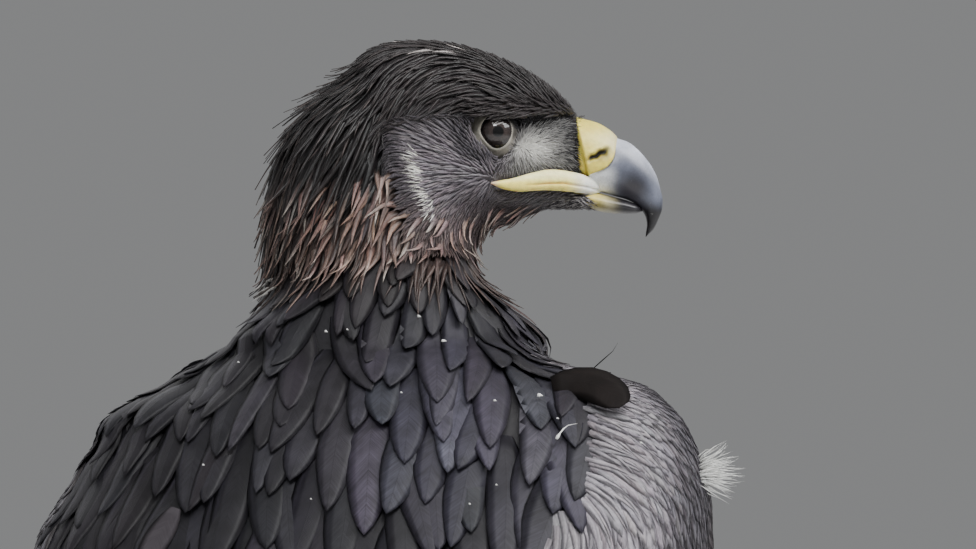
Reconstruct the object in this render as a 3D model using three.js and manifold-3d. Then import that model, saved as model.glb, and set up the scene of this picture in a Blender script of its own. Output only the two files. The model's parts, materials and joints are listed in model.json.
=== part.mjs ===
// A golden eagle standing on level ground, life size: a well-grown young female, about 0.86 m from bill
// to tail if stretched out. It stands at ease with folded wings, its head turned to its own right.
// Millimetres, +Z up. The bird faces -Y, so its own left is +X and its tail is towards +Y.
// The solids hold the outline out to the tips of the plumage. Each named part is one closed solid, and
// neighbours keep a thin gap.
import * as THREE from "three";
import { mergeVertices } from "three/addons/utils/BufferGeometryUtils.js";
import Module from "manifold-3d";

const wasm = await Module();
wasm.setup();

// ---- driving sizes --------------------------------------------------------------------------------
const GAP = 0.3; // between neighbouring solids
const HEAD_TURN = 70; // degrees, from straight ahead towards the bird's own right
const HEAD_AT = { forward: 121, right: 34, up: 533 }; // the middle of the head at eye height
const EYE_RADIUS = 10.6;
const EYE_OUT = 19.8; // from the head's middle plane to the eye's centre
const EYE_BACK = -1.6;
const STANCE = 47; // from the middle plane to each foot
const FOOT_FORWARD = 44;
const SOLE = 1.4; // the depth of the flats under toes and pads
const TOE_R = 8.2; // of a front toe at its base
const TAIL_TIP_UP = 17;
const COLOURS = {
  plumage: 0x2b2624,
  nape: 0x4a352b,
  flight: 0x231f1e,
  tail: 0x5c5650,
  tarsus: 0x8d7a62,
  skin: 0xe0b83a,
  horn: 0x3a4150,
  claw: 0x141416,
  eye: 0x2a1c12,
};

// ---- small tools ----------------------------------------------------------------------------------
const V = (x, y, z) => new THREE.Vector3(x, y, z);
// A point from the bird's own forward, left and up.
const at = (forward, left, up) => V(left, -forward, up);

// A smooth number over t from a few keys [t, value]: monotone cubic, so that it never overshoots a key.
function track(keys) {
  const n = keys.length;
  const d = keys.slice(1).map((k, i) => (k[1] - keys[i][1]) / (k[0] - keys[i][0]));
  const m = keys.map((_, i) => {
    if (i === 0) return d[0];
    if (i === n - 1) return d[n - 2];
    return d[i - 1] * d[i] <= 0 ? 0 : (2 * d[i - 1] * d[i]) / (d[i - 1] + d[i]);
  });
  return (t) => {
    if (t <= keys[0][0]) return keys[0][1];
    if (t >= keys[n - 1][0]) return keys[n - 1][1];
    let i = 0;
    while (t > keys[i + 1][0]) i++;
    const h = keys[i + 1][0] - keys[i][0], s = (t - keys[i][0]) / h;
    return (
      (1 + 2 * s) * (1 - s) ** 2 * keys[i][1] + s * (1 - s) ** 2 * h * m[i] +
      s * s * (3 - 2 * s) * keys[i + 1][1] + s * s * (s - 1) * h * m[i + 1]
    );
  };
}

// The round-off of a closed form towards its two ends, over shares a and b of its length.
const rounded = (t, a, b) =>
  Math.sqrt(Math.max(0, 1 - Math.max(0, 1 - t / a) ** 2)) * Math.sqrt(Math.max(0, 1 - Math.max(0, 1 - (1 - t) / b) ** 2));

// A closed form: a sphere's own vertices, each moved to place(t, angle), t from 0 to 1 between its poles.
function form(around, along, place) {
  const g = new THREE.SphereGeometry(1, around, along), p = g.attributes.position, uv = g.attributes.uv;
  for (let i = 0; i < p.count; i++) {
    const t = 1 - uv.getY(i), pole = t < 1e-6 || t > 1 - 1e-6;
    const q = place(t < 1e-6 ? 0 : t > 1 - 1e-6 ? 1 : t, pole ? 0 : 2 * Math.PI * (uv.getX(i) % 1));
    p.setXYZ(i, q.x, q.y, q.z);
  }
  return solidOf(g);
}

function solidOf(geometry) {
  const g = geometry.clone();
  g.deleteAttribute("normal");
  g.deleteAttribute("uv");
  const m = mergeVertices(g, 1e-3), tri = new Uint32Array(m.index.array);
  // triangles that the poles have squeezed to nothing
  const kept = [];
  for (let i = 0; i < tri.length; i += 3)
    if (tri[i] !== tri[i + 1] && tri[i + 1] !== tri[i + 2] && tri[i] !== tri[i + 2]) kept.push(tri[i], tri[i + 1], tri[i + 2]);
  const make = (t) => new wasm.Manifold(new wasm.Mesh({ numProp: 3, vertProperties: new Float32Array(m.attributes.position.array), triVerts: new Uint32Array(t) }));
  let s = make(kept);
  if (s.volume() < 0) {
    for (let i = 0; i < kept.length; i += 3) [kept[i + 1], kept[i + 2]] = [kept[i + 2], kept[i + 1]];
    s = make(kept);
  }
  return s;
}

// A form along a curve. up is the direction of the section's height; tall and wide are its half sizes over t;
// shape(angle, t) may change a section's two numbers [across, up], each from -1 to 1.
function limb({ spine, up, tall, wide, ends = [0.06, 0.06], around = 16, along = 12, shape, grow = 0, warp, even = false }) {
  const curve = new THREE.CatmullRomCurve3(spine, false, "centripetal");
  const lengths = curve.getLength();
  return form(around, along, (t, a) => {
    const s = even ? t : (1 - Math.cos(Math.PI * t)) / 2 * 0.45 + t * 0.55; // a few more rings near the ends
    const p = curve.getPointAt(s), d = curve.getTangentAt(s);
    const side = new THREE.Vector3().crossVectors(d, up).normalize();
    const high = new THREE.Vector3().crossVectors(side, d).normalize();
    let [c, h] = shape ? shape(a, s) : [Math.cos(a), Math.sin(a)];
    const r = rounded(s, ends[0], ends[1]);
    const q = p.clone().addScaledVector(side, c * (wide(s) + grow) * r).addScaledVector(high, h * (tall(s) + grow) * r);
    if (grow && (s < 1e-6 || s > 1 - 1e-6)) q.addScaledVector(d, s < 0.5 ? -grow : grow);
    if (warp) q.add(warp(s, c, h, side, high, r));
    return q;
  });
}

// A large block on one side of a plane, for cutting: the side that normal points to.
function half(point, normal, size = 900) {
  const g = new THREE.BoxGeometry(size, size, size);
  g.translate(0, 0, size / 2);
  g.applyQuaternion(new THREE.Quaternion().setFromUnitVectors(V(0, 0, 1), normal.clone().normalize()));
  g.translate(point.x, point.y, point.z);
  return solidOf(g);
}

function mesh(name, solid, colour, roughness = 0.8, metalness = 0) {
  const parts = solid.decompose().sort((a, b) => b.volume() - a.volume()); // a cut can leave a crumb
  const m = parts[0].getMesh(), v = new Float32Array(m.numVert * 3);
  for (let i = 0; i < m.numVert; i++) v.set(m.vertProperties.subarray(i * m.numProp, i * m.numProp + 3), i * 3);
  const g = new THREE.BufferGeometry().setAttribute("position", new THREE.BufferAttribute(v, 3)).setIndex(new THREE.BufferAttribute(new Uint32Array(m.triVerts), 1));
  g.computeVertexNormals();
  const made = new THREE.Mesh(g, new THREE.MeshStandardMaterial({ color: colour, roughness, metalness }));
  made.name = name;
  return made;
}

// ---- the head's own frame: u towards the bill, v to its left, w up, from the middle at eye height ----
const turn = THREE.MathUtils.degToRad(HEAD_TURN);
const U = at(Math.cos(turn), -Math.sin(turn), 0), W = V(0, 0, 1);
const L = new THREE.Vector3().crossVectors(W, U);
const HEAD0 = at(HEAD_AT.forward, -HEAD_AT.right, HEAD_AT.up);
const head = (u, v, w) => HEAD0.clone().addScaledVector(U, u).addScaledVector(L, v).addScaledVector(W, w);

// ---- head: crown and jaw lines, and the width between them ------------------------------------------
const crown = track([[-78, -4], [-74, 9], [-66, 21], [-55, 31.5], [-42, 37.6], [-28, 38.8], [-12, 36.2], [4, 30.6], [16, 24.2], [26, 16.6], [32, 10], [35, 4]]);
const jaw = track([[-78, -12], [-71, -34], [-54, -49], [-27, -51], [-6, -47.5], [4, -40.6], [16, -34.5], [27, -31], [35, -27]]);
const cheeks = track([[-78, 4], [-72, 22], [-58, 33.5], [-42, 37.4], [-28, 37.6], [-14, 35.5], [0, 31.5], [10, 27], [20, 21.5], [29, 17.2], [35, 14.5]]);
const bump = (x, y, x0, y0, sx, sy) => Math.exp(-(((x - x0) / sx) ** 2) - ((y - y0) / sy) ** 2);
function headForm(grow = 0) {
  const from = -78, to = 35;
  return form(22, 20, (t, a) => {
    const s = 0.5 - 0.5 * Math.cos(Math.PI * (0.04 + 0.92 * t));
    const k = (s - 0.5 + 0.5 * Math.cos(Math.PI * 0.04)) / Math.cos(Math.PI * 0.04);
    const u = from + (to - from) * k;
    const top = crown(u) + grow, low = jaw(u) - grow, wide = cheeks(u) + grow;
    const mid = (top + low) / 2 + 2, c = Math.cos(a), h = Math.sin(a);
    let w = h > 0 ? mid + (top - mid) * h : mid + (mid - low) * h;
    let v = wide * Math.sign(c) * Math.abs(c) ** 0.82;
    const side = Math.abs(c) ** 0.6;
    // the brow's shelf, the hollow under it that holds the eye and runs to the bill, and the cheek below
    v += Math.sign(c) * side * (
      3.6 * bump(u, w, 8, 13.5, 17, 4.5) - 3.8 * bump(u, w, -1, 1, 12, 8) - 2.6 * bump(u, w, 20, -6, 11, 9) +
      1.6 * bump(u, w, -20, -18, 20, 16) - 1.5 * bump(u, w, 10, -34, 20, 8));
    if (t === 0 || t === 1) return head(u, 0, mid);
    return head(u, v, w);
  });
}

// ---- bill: an upper part along a hooked line, whose back is the cere, and a lower part ----------------
const billLine = [[24, -6.4], [34.6, -8.3], [42.9, -10.4], [50, -13.4], [55.4, -17], [60.6, -21.8], [64.2, -27.2], [65.2, -32.5], [64.4, -38], [62.9, -43.6]];
const billTall = track([[0, 15.2], [0.13, 14.8], [0.24, 13.6], [0.36, 12.4], [0.47, 11.9], [0.59, 10.4], [0.7, 8], [0.8, 5.9], [0.9, 3.4], [1, 0.8]]);
const billWide = track([[0, 15.6], [0.13, 14.6], [0.24, 12.8], [0.36, 11], [0.47, 9.4], [0.59, 7.4], [0.7, 5.6], [0.8, 4.1], [0.9, 2.5], [1, 0.8]]);
const ridge = (a) => [Math.sign(Math.cos(a)) * Math.abs(Math.cos(a)) ** (Math.sin(a) > 0 ? 1.12 : 0.8), Math.sin(a)]; // narrower at the culmen
const bill = (grow = 0) => limb({ spine: billLine.map(([u, w]) => head(u, 0, w)), up: W.clone().addScaledVector(U, 0.6), tall: billTall, wide: billWide, ends: [0.02, 0.05], around: 12, along: 13, shape: ridge, grow });
const lowerBill = (grow = 0) => limb({
  spine: [[6, -28.4], [22, -28.2], [38, -28.2], [50, -29.4], [58.2, -31.6]].map(([u, w]) => head(u, 0, w)),
  up: W, tall: track([[0, 3.6], [0.5, 4.2], [0.8, 3.4], [1, 1.6]]), wide: track([[0, 16], [0.35, 14], [0.7, 9.6], [0.9, 7], [1, 4.6]]),
  ends: [0.04, 0.1], around: 12, along: 9, grow,
});
// the corner of the mouth: a fleshy strip from the cere back below the eye
const gape = (side, grow = 0) => limb({
  spine: [[-1.5, 29.6, -21], [8, 26.6, -22], [19, 20.6, -20.9], [30, 15.6, -19.6], [41, 12.4, -19]].map(([u, v, w]) => head(u, side * v, w)),
  up: W, tall: track([[0, 1.2], [0.2, 2.9], [0.5, 3.7], [0.8, 3.6], [1, 3.4]]), wide: track([[0, 1.4], [0.3, 2.2], [1, 2.6]]),
  ends: [0.06, 0.06], around: 8, along: 9, grow,
});
const eye = (side, grow = 0) => {
  const g = new THREE.SphereGeometry(EYE_RADIUS + grow, 14, 8), c = head(EYE_BACK, side * EYE_OUT, 0);
  g.translate(c.x, c.y, c.z);
  return solidOf(g);
};

// ---- neck: a column behind and under the skull, puffed at the nape, spreading over the shoulders ------
const neckForm = () => limb({
  spine: [head(-38, 0, 24), head(-44.5, 0, 2), head(-49, 0, -20), head(-50.5, 0, -44), head(-47, 0, -64), at(100, 3, 446), at(96, 0, 415)],
  up: U, // the section's tall side lies along the bill's direction
  tall: track([[0, 24], [0.1, 33], [0.22, 42.5], [0.36, 47], [0.5, 47.5], [0.66, 57], [0.82, 75], [1, 84]]),
  wide: track([[0, 26], [0.1, 34], [0.22, 40], [0.36, 43], [0.5, 46], [0.66, 51], [0.82, 56], [1, 56]]),
  ends: [0.12, 0.1], around: 20, along: 12,
});

// ---- the cloak: the outline of trunk and folded wings, as sections square to the body's slanted axis ----
const axisLine = new THREE.CatmullRomCurve3([[112, 456], [104, 426], [91, 395], [73, 359], [45, 317], [5, 273], [-40, 231], [-90, 191], [-135, 157], [-233, 100], [-345, 39]].map(([f, z]) => at(f, 0, z)), false, "centripetal");
const CLOAK = axisLine.getLength(), TRUNK = 421; // mm along the axis: to the wing tips, and to the trunk's end
const halfWidth = track([[0, 56], [31, 98], [68, 128], [105, 140], [155, 142], [215, 132], [277, 115], [342, 93], [400, 74], [510, 49], [630, 30]]);
const back = track([[0, 36], [31, 62], [68, 78], [105, 85], [155, 83], [215, 73], [277, 60], [342, 45], [400, 33], [510, 19], [630, 8]]);
const belly = track([[0, 42], [31, 66], [68, 87], [105, 102], [155, 109], [215, 102], [277, 81], [342, 52], [400, 31], [421, 22]]);
const soft = (x) => Math.sign(x) * Math.abs(x) ** 0.88; // sections a little squarer than ellipses
function cloak(d, angle, off = 0) {
  const k = Math.min(1, Math.max(0, d / CLOAK)), p = axisLine.getPointAt(k), dir = axisLine.getTangentAt(k);
  const n = new THREE.Vector3().crossVectors(V(1, 0, 0), dir).normalize(); // towards the back
  if (n.z < 0) n.negate();
  const c = soft(Math.cos(angle)), h = soft(Math.sin(angle));
  return p.add(V(c * (halfWidth(d) + off), 0, 0)).addScaledVector(n, h * ((h > 0 ? back(d) : belly(d)) + off));
}
const bodyForm = (off = 0) => form(22, 15, (t, a) => {
  const k = 0.5 - 0.5 * Math.cos(Math.PI * (0.1 + 0.8 * t)), s = (k - 0.0245) / 0.951, r = rounded(s, 0.07, 0.09);
  const d = TRUNK * s, mid = cloak(d, Math.PI / 2).add(cloak(d, -Math.PI / 2)).multiplyScalar(0.5);
  return s < 1e-4 || s > 1 - 1e-4 ? mid : cloak(d, a, off).sub(mid).multiplyScalar(r).add(mid);
});

// ---- wing: a curved shell on the flank and over the back, from its bend by the breast to its tip -------
// Its upper and lower edges are angles round the cloak (0 at the side, 90 at the middle of the back).
const upperEdge = track([[18, 36], [68, 50], [112, 58], [165, 66], [225, 74], [287, 80], [352, 84], [409, 86.5], [640, 87]]);
const lowerEdge = track([[18, -16], [68, -30], [112, -38], [165, -42], [225, -41], [287, -35], [352, -26], [409, -16], [520, -6], [640, 2]]);
const shellDepth = track([[18, 16], [90, 24], [225, 20], [352, 14], [420, 9], [520, 6.5], [640, 3.5]]);
const WING_FROM = 18, WING_TO = 650;
const wingForm = (side, grow = 0) => form(16, 18, (t, a) => {
  const s = (1 - Math.cos(Math.PI * t)) / 2 * 0.5 + t * 0.5, d = WING_FROM - grow + (WING_TO - WING_FROM + 2 * grow) * s, r = rounded(s, 0.085, 0.12);
  const up = THREE.MathUtils.degToRad(upperEdge(d)), low = THREE.MathUtils.degToRad(lowerEdge(d)), round = halfWidth(d);
  const c = Math.cos(a), h = Math.sin(a), angle = (up + low) / 2 + (h * (up - low) / 2) * r + (h * grow) / round;
  const bend = 9 * Math.exp(-(((d - 56) / 44) ** 2) - ((angle - 0.25) / 0.6) ** 2); // the wrist's bulge
  const off = c > 0 ? Math.sqrt(c) * ((4 + bend) * r + grow) : c * ((shellDepth(d) - 0) * r + grow);
  const p = cloak(d, angle, off);
  p.x *= side;
  return p;
});

// ---- tail: twelve feathers closed into one long, slightly roofed blade --------------------------------
const tailForm = (grow = 0) => limb({
  spine: [at(-78, 0, 184), at(-140, 0, 142), at(-220, 0, 95), at(-300, 0, 53), at(-380, 0, TAIL_TIP_UP)],
  up: V(0, 0, 1),
  tall: track([[0, 22], [0.15, 19], [0.35, 12], [0.6, 7], [1, 3]]),
  wide: track([[0, 28], [0.25, 38], [0.6, 55], [0.85, 64], [1, 60]]),
  ends: [0.08, 0.07], around: 18, along: 10, grow,
  warp: (s, c, h, a, b, r) => V(0, 0, -r * c * c * (3 + 7 * s)),
});

// ---- legs -------------------------------------------------------------------------------------------
// the shin's long feathers, a loose bag that hangs to the heel
const thighForm = (side, grow = 0) => limb({
  spine: [at(66, side * 52, 262), at(66, side * 54, 222), at(53, side * 53, 180), at(33, side * 51, 138), at(16, side * 49, 98), at(9, side * 48, 66)],
  up: at(1, 0, 0),
  tall: track([[0, 52], [0.2, 60], [0.42, 57], [0.62, 46], [0.8, 33], [0.92, 24], [1, 17]]),
  wide: track([[0, 38], [0.2, 45], [0.42, 45], [0.62, 38], [0.8, 29], [0.92, 22], [1, 16]]),
  ends: [0.12, 0.1], around: 14, along: 9, grow,
});
const shankForm = (side, grow = 0) => limb({
  spine: [at(14, side * STANCE, 100), at(20, side * STANCE, 78), at(32, side * STANCE, 48), at(FOOT_FORWARD - 2, side * STANCE, 18)],
  up: at(1, 0, 0),
  tall: track([[0, 15], [0.3, 18], [0.7, 17], [1, 15]]), wide: track([[0, 14], [0.3, 17], [0.7, 16], [1, 14.5]]),
  ends: [0.12, 0.06], around: 10, along: 6, grow,
});
// each toe: direction in degrees outwards from straight ahead, length, thickness, claw's chord
const TOES = {
  inner_toe: { heading: -34, long: 50, r: 1.02, claw: 38 },
  middle_toe: { heading: 4, long: 68, r: 0.95, claw: 31 },
  outer_toe: { heading: 44, long: 52, r: 0.88, claw: 26 },
  hind_toe: { heading: 176, long: 40, r: 1.08, claw: 42 },
};
function toeAxes(side, toe) {
  const a = THREE.MathUtils.degToRad(toe.heading);
  return { from: at(FOOT_FORWARD, side * STANCE, 0), dir: at(Math.cos(a), side * Math.sin(a), 0), r: TOE_R * toe.r };
}
function toeForm(side, toe, grow = 0) {
  const { from, dir, r } = toeAxes(side, toe), p = (k, z) => from.clone().addScaledVector(dir, k * toe.long).setZ(z);
  return limb({
    spine: [p(0, 11.5), p(0.3, 9.6), p(0.5, 9), p(0.7, 8.4), p(1, 6.8)], up: V(0, 0, 1),
    tall: (t) => r * (1.05 - 0.24 * t + 0.1 * Math.cos(t * 6 * Math.PI)), wide: (t) => r * (1.08 - 0.26 * t + 0.07 * Math.cos(t * 6 * Math.PI)),
    ends: [0.1, 0.12], around: 8, along: 8, grow,
  });
}
function clawForm(side, toe) {
  const { from, dir, r } = toeAxes(side, toe), c = toe.claw, q = (k, z) => from.clone().addScaledVector(dir, toe.long - 5 + k * c).setZ(z);
  return limb({
    spine: [q(0, 8.6), q(0.22, 12.6), q(0.5, 13.6), q(0.78, 9.4), q(0.97, 2.4)], up: V(0, 0, 1),
    tall: track([[0, r * 0.62], [0.3, r * 0.58], [0.7, r * 0.34], [1, 0.5]]), wide: track([[0, r * 0.5], [0.3, r * 0.46], [0.7, r * 0.28], [1, 0.45]]),
    ends: [0.05, 0.04], around: 7, along: 6,
  });
}

// ---- putting it together: every cut leaves GAP ---------------------------------------------------------
const bird = new THREE.Group();
const add = (...m) => bird.add(mesh(...m));
const sides = [["left", 1], ["right", -1]];
const floorCut = half(V(0, 0, 0), V(0, 0, -1));
const both = (make) => make(1).add(make(-1));

// planes where the neck meets the skull and the trunk
const nape = { p: head(-40, 0, -29), n: W.clone().addScaledVector(U, 0.45).normalize() };
const collar = { p: at(100, 0, 441), n: at(-0.1, 0, 1).normalize() };
const above = (plane, shift) => half(plane.p.clone().addScaledVector(plane.n, shift), plane.n);
const below = (plane, shift) => half(plane.p.clone().addScaledVector(plane.n, shift), plane.n.clone().negate());

const eyes = both((s) => eye(s, GAP)), gapes = (g) => both((s) => gape(s, g));
const billCut = bill(GAP), lowerCut = lowerBill(GAP);
const skull = headForm();
const skullAll = skull.add(neckForm().intersect(above(nape, GAP / 2)));
add("head", skullAll.subtract(below(nape, GAP / 2)).subtract(eyes).subtract(billCut).subtract(lowerCut).subtract(gapes(GAP)), COLOURS.plumage);
const cereFront = { p: head(48.6, 0, -3), n: U.clone().addScaledVector(W, 0.16).normalize() };
const upper = bill(), lower = lowerBill();
add("cere", upper.intersect(below(cereFront, -GAP / 2)).add(gapes(0)).subtract(above(cereFront, -GAP / 2)), COLOURS.skin, 0.5);
add("upper_bill", upper.intersect(above(cereFront, GAP / 2)), COLOURS.horn, 0.35);
add("lower_bill", lower.subtract(billCut).subtract(gapes(GAP)), COLOURS.horn, 0.4);
for (const [name, s] of sides) add(name + "_eye", eye(s), COLOURS.eye, 0.1);

const wings = both((s) => wingForm(s, GAP));
const torso = neckForm().add(headForm()).add(bodyForm()).subtract(wings);
add("neck", torso.intersect(below(nape, -GAP / 2)).intersect(above(collar, GAP / 2)).subtract(billCut).subtract(lowerCut).subtract(gapes(GAP)).subtract(eyes), COLOURS.nape);
const thighs = both((s) => thighForm(s, GAP)), tail = tailForm(GAP);
add("trunk", torso.intersect(below(collar, -GAP / 2)).subtract(thighs).subtract(tail), COLOURS.plumage);
add("tail", tailForm(), COLOURS.tail, 0.7);

for (const [name, s] of sides) {
  const own = half(at(0, s * GAP, 0), at(0, s, 0)); // each side keeps to its own half
  const wing = wingForm(s).subtract(tail).subtract(thighForm(s, GAP)).intersect(own);
  const fold = { p: at(-150, 0, 165), n: at(-0.86, 0, -0.5) };
  add(name + "_wing", wing.intersect(below(fold, -GAP / 2)), COLOURS.plumage);
  add(name + "_primaries", wing.intersect(above(fold, GAP / 2)), COLOURS.flight, 0.6);
  add(name + "_thigh", thighForm(s).intersect(own), COLOURS.plumage);
  const toes = Object.values(TOES).map((t) => toeForm(s, t));
  const pad = new THREE.SphereGeometry(1, 10, 6);
  pad.scale(14.5, 14.5, 9);
  pad.translate(s * STANCE, -FOOT_FORWARD, 9);
  const foot = toes.reduce((a, b) => a.add(b), solidOf(pad)).subtract(half(V(0, 0, SOLE), V(0, 0, -1)));
  const footUp = foot.translate(0, 0, -SOLE);
  const footCut = Object.values(TOES).map((t) => toeForm(s, t, GAP)).reduce((a, b) => a.add(b)).translate(0, 0, -SOLE);
  const shank = shankForm(s);
  pad.translate(-s * STANCE, FOOT_FORWARD, -9);
  pad.scale(1.03, 1.03, 1.04);
  pad.translate(s * STANCE, -FOOT_FORWARD, 9 - SOLE);
  const padCut = solidOf(pad);
  add(name + "_tarsus", shank.subtract(thighForm(s, GAP)).subtract(footCut).subtract(padCut).subtract(floorCut), COLOURS.tarsus);
  add(name + "_foot", footUp, COLOURS.skin, 0.6);
  for (const [toe, t] of Object.entries(TOES))
    add(name + "_" + toe.replace("_toe", "_claw"), clawForm(s, t).subtract(toeForm(s, t, GAP).translate(0, 0, -SOLE)).subtract(half(V(0, 0, 0.4), V(0, 0, -1))), COLOURS.claw, 0.3);
}

// the origin is on the ground under the middle of the whole bird
const box = new THREE.Box3().setFromObject(bird);
bird.position.set(-(box.min.x + box.max.x) / 2, -(box.min.y + box.max.y) / 2, -box.min.z);
bird.name = "golden_eagle";
const whole = new THREE.Group();
whole.add(bird);
export default whole;
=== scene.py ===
import json
import math

import bmesh
import bpy
import numpy as np
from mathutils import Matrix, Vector
from mathutils.bvhtree import BVHTree

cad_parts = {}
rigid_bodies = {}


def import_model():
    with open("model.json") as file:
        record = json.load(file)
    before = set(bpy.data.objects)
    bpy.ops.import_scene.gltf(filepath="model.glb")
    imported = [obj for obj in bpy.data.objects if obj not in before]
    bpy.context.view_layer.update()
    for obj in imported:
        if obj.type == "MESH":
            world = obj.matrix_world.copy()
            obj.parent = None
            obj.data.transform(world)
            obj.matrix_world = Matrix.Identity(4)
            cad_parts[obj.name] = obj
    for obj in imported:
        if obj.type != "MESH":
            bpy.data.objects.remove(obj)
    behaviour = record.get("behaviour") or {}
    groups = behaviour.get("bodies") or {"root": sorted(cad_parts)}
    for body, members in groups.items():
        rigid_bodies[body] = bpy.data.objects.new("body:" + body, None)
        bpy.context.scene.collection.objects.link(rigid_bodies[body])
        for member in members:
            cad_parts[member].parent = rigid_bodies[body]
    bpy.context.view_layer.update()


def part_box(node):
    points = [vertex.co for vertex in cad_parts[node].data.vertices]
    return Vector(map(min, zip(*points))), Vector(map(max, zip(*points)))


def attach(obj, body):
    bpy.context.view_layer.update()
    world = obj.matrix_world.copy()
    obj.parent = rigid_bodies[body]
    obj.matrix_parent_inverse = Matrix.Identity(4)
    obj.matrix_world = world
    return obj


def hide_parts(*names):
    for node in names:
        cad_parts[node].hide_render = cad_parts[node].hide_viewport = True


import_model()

# A golden eagle, life size, standing. Work is in millimetres and goes to metres when a mesh is made.
# The bird faces -Y, its left is +X, up is +Z. Its head is turned to its own right.
rng = np.random.default_rng(20240)
root = "root"


# ---------------------------------------------------------------- sizes shared with the solids
def box_mm(node):
    lo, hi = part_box(node)
    return np.array(lo) * 1000, np.array(hi) * 1000


def unit(v, axis=-1):
    return v / np.maximum(np.linalg.norm(v, axis=axis, keepdims=True), 1e-9)


def ss(a, b, x):
    t = np.clip((np.asarray(x, float) - a) / (b - a), 0, 1)
    return t * t * (3 - 2 * t)


TURN = math.radians(70)
U = np.array([-math.sin(TURN), -math.cos(TURN), 0.0])  # towards the bill
Lh = np.array([math.cos(TURN), -math.sin(TURN), 0.0])  # towards the head's own left
Z = np.array([0.0, 0.0, 1.0])
EYE_R, EYE_OUT, EYE_BACK = 10.6, 19.8, -1.6
lo, hi = box_mm("right_eye")
e_c = (lo + hi) / 2
HEAD0 = e_c - EYE_BACK * U + EYE_OUT * Lh
HEAD0[2] = 533.0
SHIFT = HEAD0 - np.array([-34.0, -121.0, 533.0])
SHIFT[2] = 0


def head(u, v, w):
    u, v, w = np.broadcast_arrays(np.asarray(u, float), v, w)
    return HEAD0 + u[..., None] * U + v[..., None] * Lh + w[..., None] * Z


def uvw(p):
    q = np.asarray(p) - HEAD0
    return q @ U, q @ Lh, q[..., 2]


def at(f, l, z):
    f, l, z = np.broadcast_arrays(np.asarray(f, float), l, z)
    return np.stack([l, -f, z], -1) + SHIFT


def track(keys):
    x = np.array([k[0] for k in keys], float)
    y = np.array([k[1] for k in keys], float)
    d = np.diff(y) / np.diff(x)
    m = np.empty(len(x))
    m[0], m[-1] = d[0], d[-1]
    for i in range(1, len(x) - 1):
        m[i] = 0 if d[i - 1] * d[i] <= 0 else 2 * d[i - 1] * d[i] / (d[i - 1] + d[i])

    def f(t):
        t = np.clip(np.asarray(t, float), x[0], x[-1])
        i = np.clip(np.searchsorted(x, t, side="right") - 1, 0, len(x) - 2)
        h = x[i + 1] - x[i]
        s = (t - x[i]) / h
        return ((1 + 2 * s) * (1 - s) ** 2 * y[i] + s * (1 - s) ** 2 * h * m[i]
                + s * s * (3 - 2 * s) * y[i + 1] + s * s * (s - 1) * h * m[i + 1])
    return f


class Curve:
    """A centripetal spline through points, read by its share of length."""

    def __init__(self, pts, n=600):
        p = np.array(pts, float)
        ext = np.vstack([2 * p[0] - p[1], p, 2 * p[-1] - p[-2]])
        t = np.linspace(0, len(p) - 1, n)
        i = np.minimum(t.astype(int), len(p) - 2)
        w = (t - i)[:, None]
        p0, p1, p2, p3 = ext[i], ext[i + 1], ext[i + 2], ext[i + 3]
        d0 = np.linalg.norm(p1 - p0, axis=1)[:, None] ** 0.5
        d1 = np.linalg.norm(p2 - p1, axis=1)[:, None] ** 0.5
        d2 = np.linalg.norm(p3 - p2, axis=1)[:, None] ** 0.5
        t1 = ((p1 - p0) / d0 - (p2 - p0) / (d0 + d1) + (p2 - p1) / d1) * d1
        t2 = ((p2 - p1) / d1 - (p3 - p1) / (d1 + d2) + (p3 - p2) / d2) * d1
        a = 2 * p1 - 2 * p2 + t1 + t2
        b = -3 * p1 + 3 * p2 - 2 * t1 - t2
        self.p = p1 + t1 * w + b * w ** 2 + a * w ** 3
        self.s = np.concatenate([[0], np.cumsum(np.linalg.norm(np.diff(self.p, axis=0), axis=1))])
        self.length = self.s[-1]
        self.s /= self.length
        self.t = unit(np.gradient(self.p, axis=0))

    def at(self, s):
        s = np.clip(s, 0, 1)
        return np.stack([np.interp(s, self.s, self.p[:, k]) for k in range(3)], -1)

    def dir(self, s):
        s = np.clip(s, 0, 1)
        return unit(np.stack([np.interp(s, self.s, self.t[:, k]) for k in range(3)], -1))


def rounded(t, a, b):
    return np.sqrt(np.maximum(0, 1 - np.maximum(0, 1 - t / a) ** 2)) * np.sqrt(np.maximum(0, 1 - np.maximum(0, 1 - (1 - t) / b) ** 2))


# the cloak: outline of trunk and folded wings round the body's slanted axis
AXIS = Curve(at(*np.array([[112, 0, 456], [104, 0, 426], [91, 0, 395], [73, 0, 359], [45, 0, 317], [5, 0, 273], [-40, 0, 231], [-90, 0, 191], [-135, 0, 157], [-233, 0, 100], [-345, 0, 39]], float).T))
CLOAK = AXIS.length
half_width = track([[0, 56], [31, 98], [68, 128], [105, 140], [155, 142], [215, 132], [277, 115], [342, 93], [400, 74], [510, 49], [630, 30]])
back_h = track([[0, 36], [31, 62], [68, 78], [105, 85], [155, 83], [215, 73], [277, 60], [342, 45], [400, 33], [510, 19], [630, 8]])
belly_h = track([[0, 42], [31, 66], [68, 87], [105, 102], [155, 109], [215, 102], [277, 81], [342, 52], [400, 31], [421, 22]])
upper_edge = track([[18, 36], [68, 50], [112, 58], [165, 66], [225, 74], [287, 80], [352, 84], [409, 86.5], [640, 87]])
lower_edge = track([[18, -16], [68, -30], [112, -38], [165, -42], [225, -41], [287, -35], [352, -26], [409, -16], [520, -6], [640, 2]])


def soft(x):
    return np.sign(x) * np.abs(x) ** 0.88


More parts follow.
